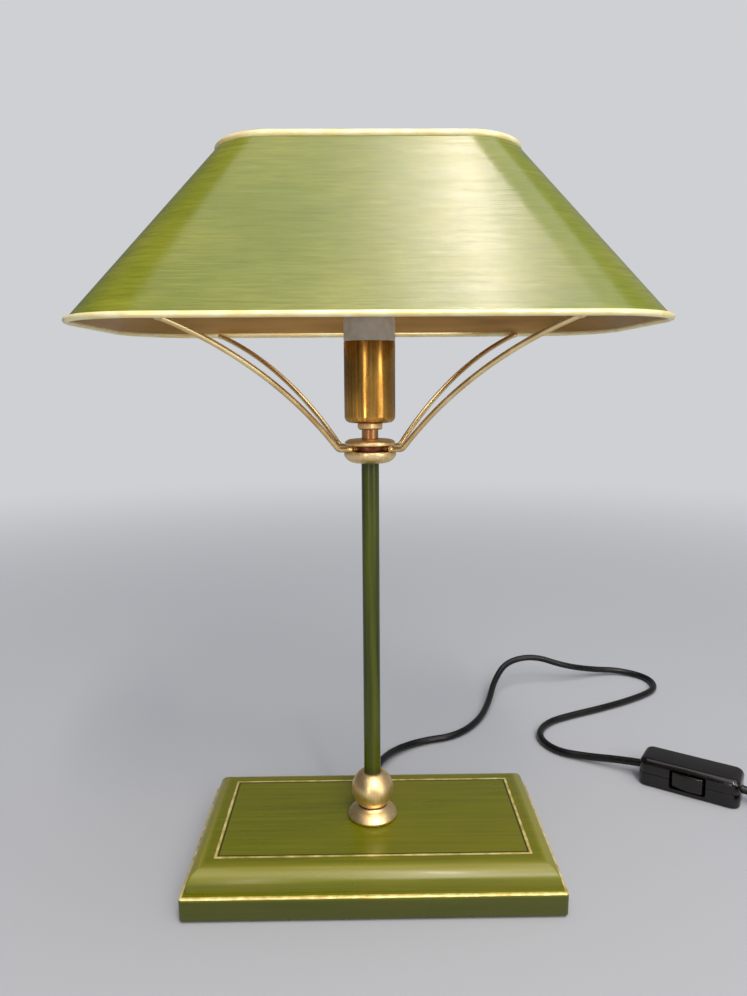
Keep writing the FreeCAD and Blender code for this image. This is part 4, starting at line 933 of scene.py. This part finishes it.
gloss = Finish("black moulded plastic", Roughness=0.1, Specular_IOR_Level=0.5)
swirl = gloss.grain((70, 70, 70), 3, 0.3, 0.7)
gloss.colour_from(gloss.blend(swirl, colour(7, 5, 5), colour(20, 14, 12)))
gloss.roughness_from(gloss.between(swirl, 0, 1, 0.08, 0.16))
gloss.relief((gloss.grain((160, 160, 160), 2), 0.03 * mm))
lower_shell = switch_shell("switch_half_low", 0.0, 10.0, 0.0, 1.2, "switch_lower_shell")
upper_shell = switch_shell("switch_half_high", 10.0, 20.0, 20.0, 4.5, "switch_upper_shell")

rocker = block("switch_key", (-10.5, -13.3, 4.5), (10.5, -6.5, 15.5))
pick(rocker, "EDGE", lambda edge: abs(edge.verts[0].co.x - edge.verts[1].co.x) > 5 * mm)
bpy.ops.mesh.subdivide(number_cuts=5)
pick(rocker, "VERT", lambda vert: vert.co.y < -13.2 * mm)
mesh = bmesh.from_edit_mesh(rocker.data)
for vert in mesh.verts:
    if vert.select:
        vert.co.y -= 1.7 * mm * (1 - (abs(vert.co.x) / (10.5 * mm)) ** 1.5)
bmesh.update_edit_mesh(rocker.data)
bpy.ops.object.mode_set(mode="OBJECT")
worked(rocker, "BEVEL", width=0.8 * mm, segments=4, limit_method="ANGLE", angle_limit=math.radians(40))
rocker.data.transform(Matrix.Translation((0, -9 * mm, 0))
                      @ Matrix.Rotation(math.radians(-7), 4, "Z") @ Matrix.Translation((0, 9 * mm, 0)))
lay_switch(rocker)
settled(rocker, 30)
rocker.data.materials.append(gloss.material)
fitted(rocker, "switch_rocker", "black_plastic", "switch_rocker")

# ---------------------------------------------------------------- plug
# A flat moulded two-pin plug with a ribbed sleeve where the cord enters it. Each round
# pin has a thinner insulated shank and a bare nickel-plated end.
plug_x, plug_z = 321.0, 7.0
plug = block("plug_moulding", (plug_x - 13.5, -104.0, 0.2), (plug_x + 13.5, -86.0, 13.8))
pick(plug, "FACE", lambda face: all(v.co.y > -86.5 * mm for v in face.verts))
for step, (run, wide, tall) in enumerate(((6.0, 0.86, 0.97), (5.0, 0.74, 0.93), (5.0, 0.72, 0.86))):
    bpy.ops.mesh.extrude_region_move(TRANSFORM_OT_translate={"value": (0, run * mm, 0)})
    bpy.ops.transform.resize(value=(wide, 1, tall), center_override=(plug_x * mm, 0, plug_z * mm))
bpy.ops.object.mode_set(mode="OBJECT")
worked(plug, "BEVEL", width=2.2 * mm, segments=4, limit_method="ANGLE", angle_limit=math.radians(40))
for side in (-1, 1):
    seat = peg("pin seat", 2.0, -6.1, 6.1)
    seat.data.transform(Matrix.Translation(((plug_x + 9.5 * side) * mm, -104 * mm, plug_z * mm))
                        @ Matrix.Rotation(math.pi / 2, 4, "X"))
    carve(plug, seat)
settled(plug, 40)
plug_ribs = []
for rib in range(5):
    start = 1.2 + rib * 3.2
    r = 3.3 + 1.5 * start / 18
    plug_ribs += [(r - 0.5, start), (r, start + 0.4), (r + 0.12, start + 1.9), (r - 0.45, start + 2.3)]
plug_sleeve = turned("plug_sleeve", [(2.75, 0), (3.2, 0), (3.3, 0.6)] + plug_ribs
                     + [(4.9, 17.6), (4.9, 20.5), (2.75, 20.5)], sides=48)
plug_sleeve.data.transform(Matrix.Translation((plug_x * mm, -52 * mm, plug_z * mm))
                           @ Matrix.Rotation(math.pi / 2, 4, "X"))
for piece in (plug, plug_sleeve):
    piece.data.materials.append(gloss.material)
fitted(plug, "stand", "black_plastic", "plug_body")
fitted(plug_sleeve, "stand", "black_plastic")

nickel = Finish("nickel plate", Metallic=1.0, Roughness=0.2)
x, y, z = nickel.axes()
shank = nickel.sum("GREATER_THAN", y, -114.02 * mm)
nickel.colour_from(nickel.blend(shank, colour(206, 204, 198), colour(18, 17, 17)))
nickel.wire(nickel.sum("SUBTRACT", 1.0, shank), nickel.shader.inputs["Metallic"])
nickel.roughness_from(nickel.between(nickel.grain((500, 500, 500)), 0, 1, 0.16, 0.3))
dress(nickel.material, "plug_pins")
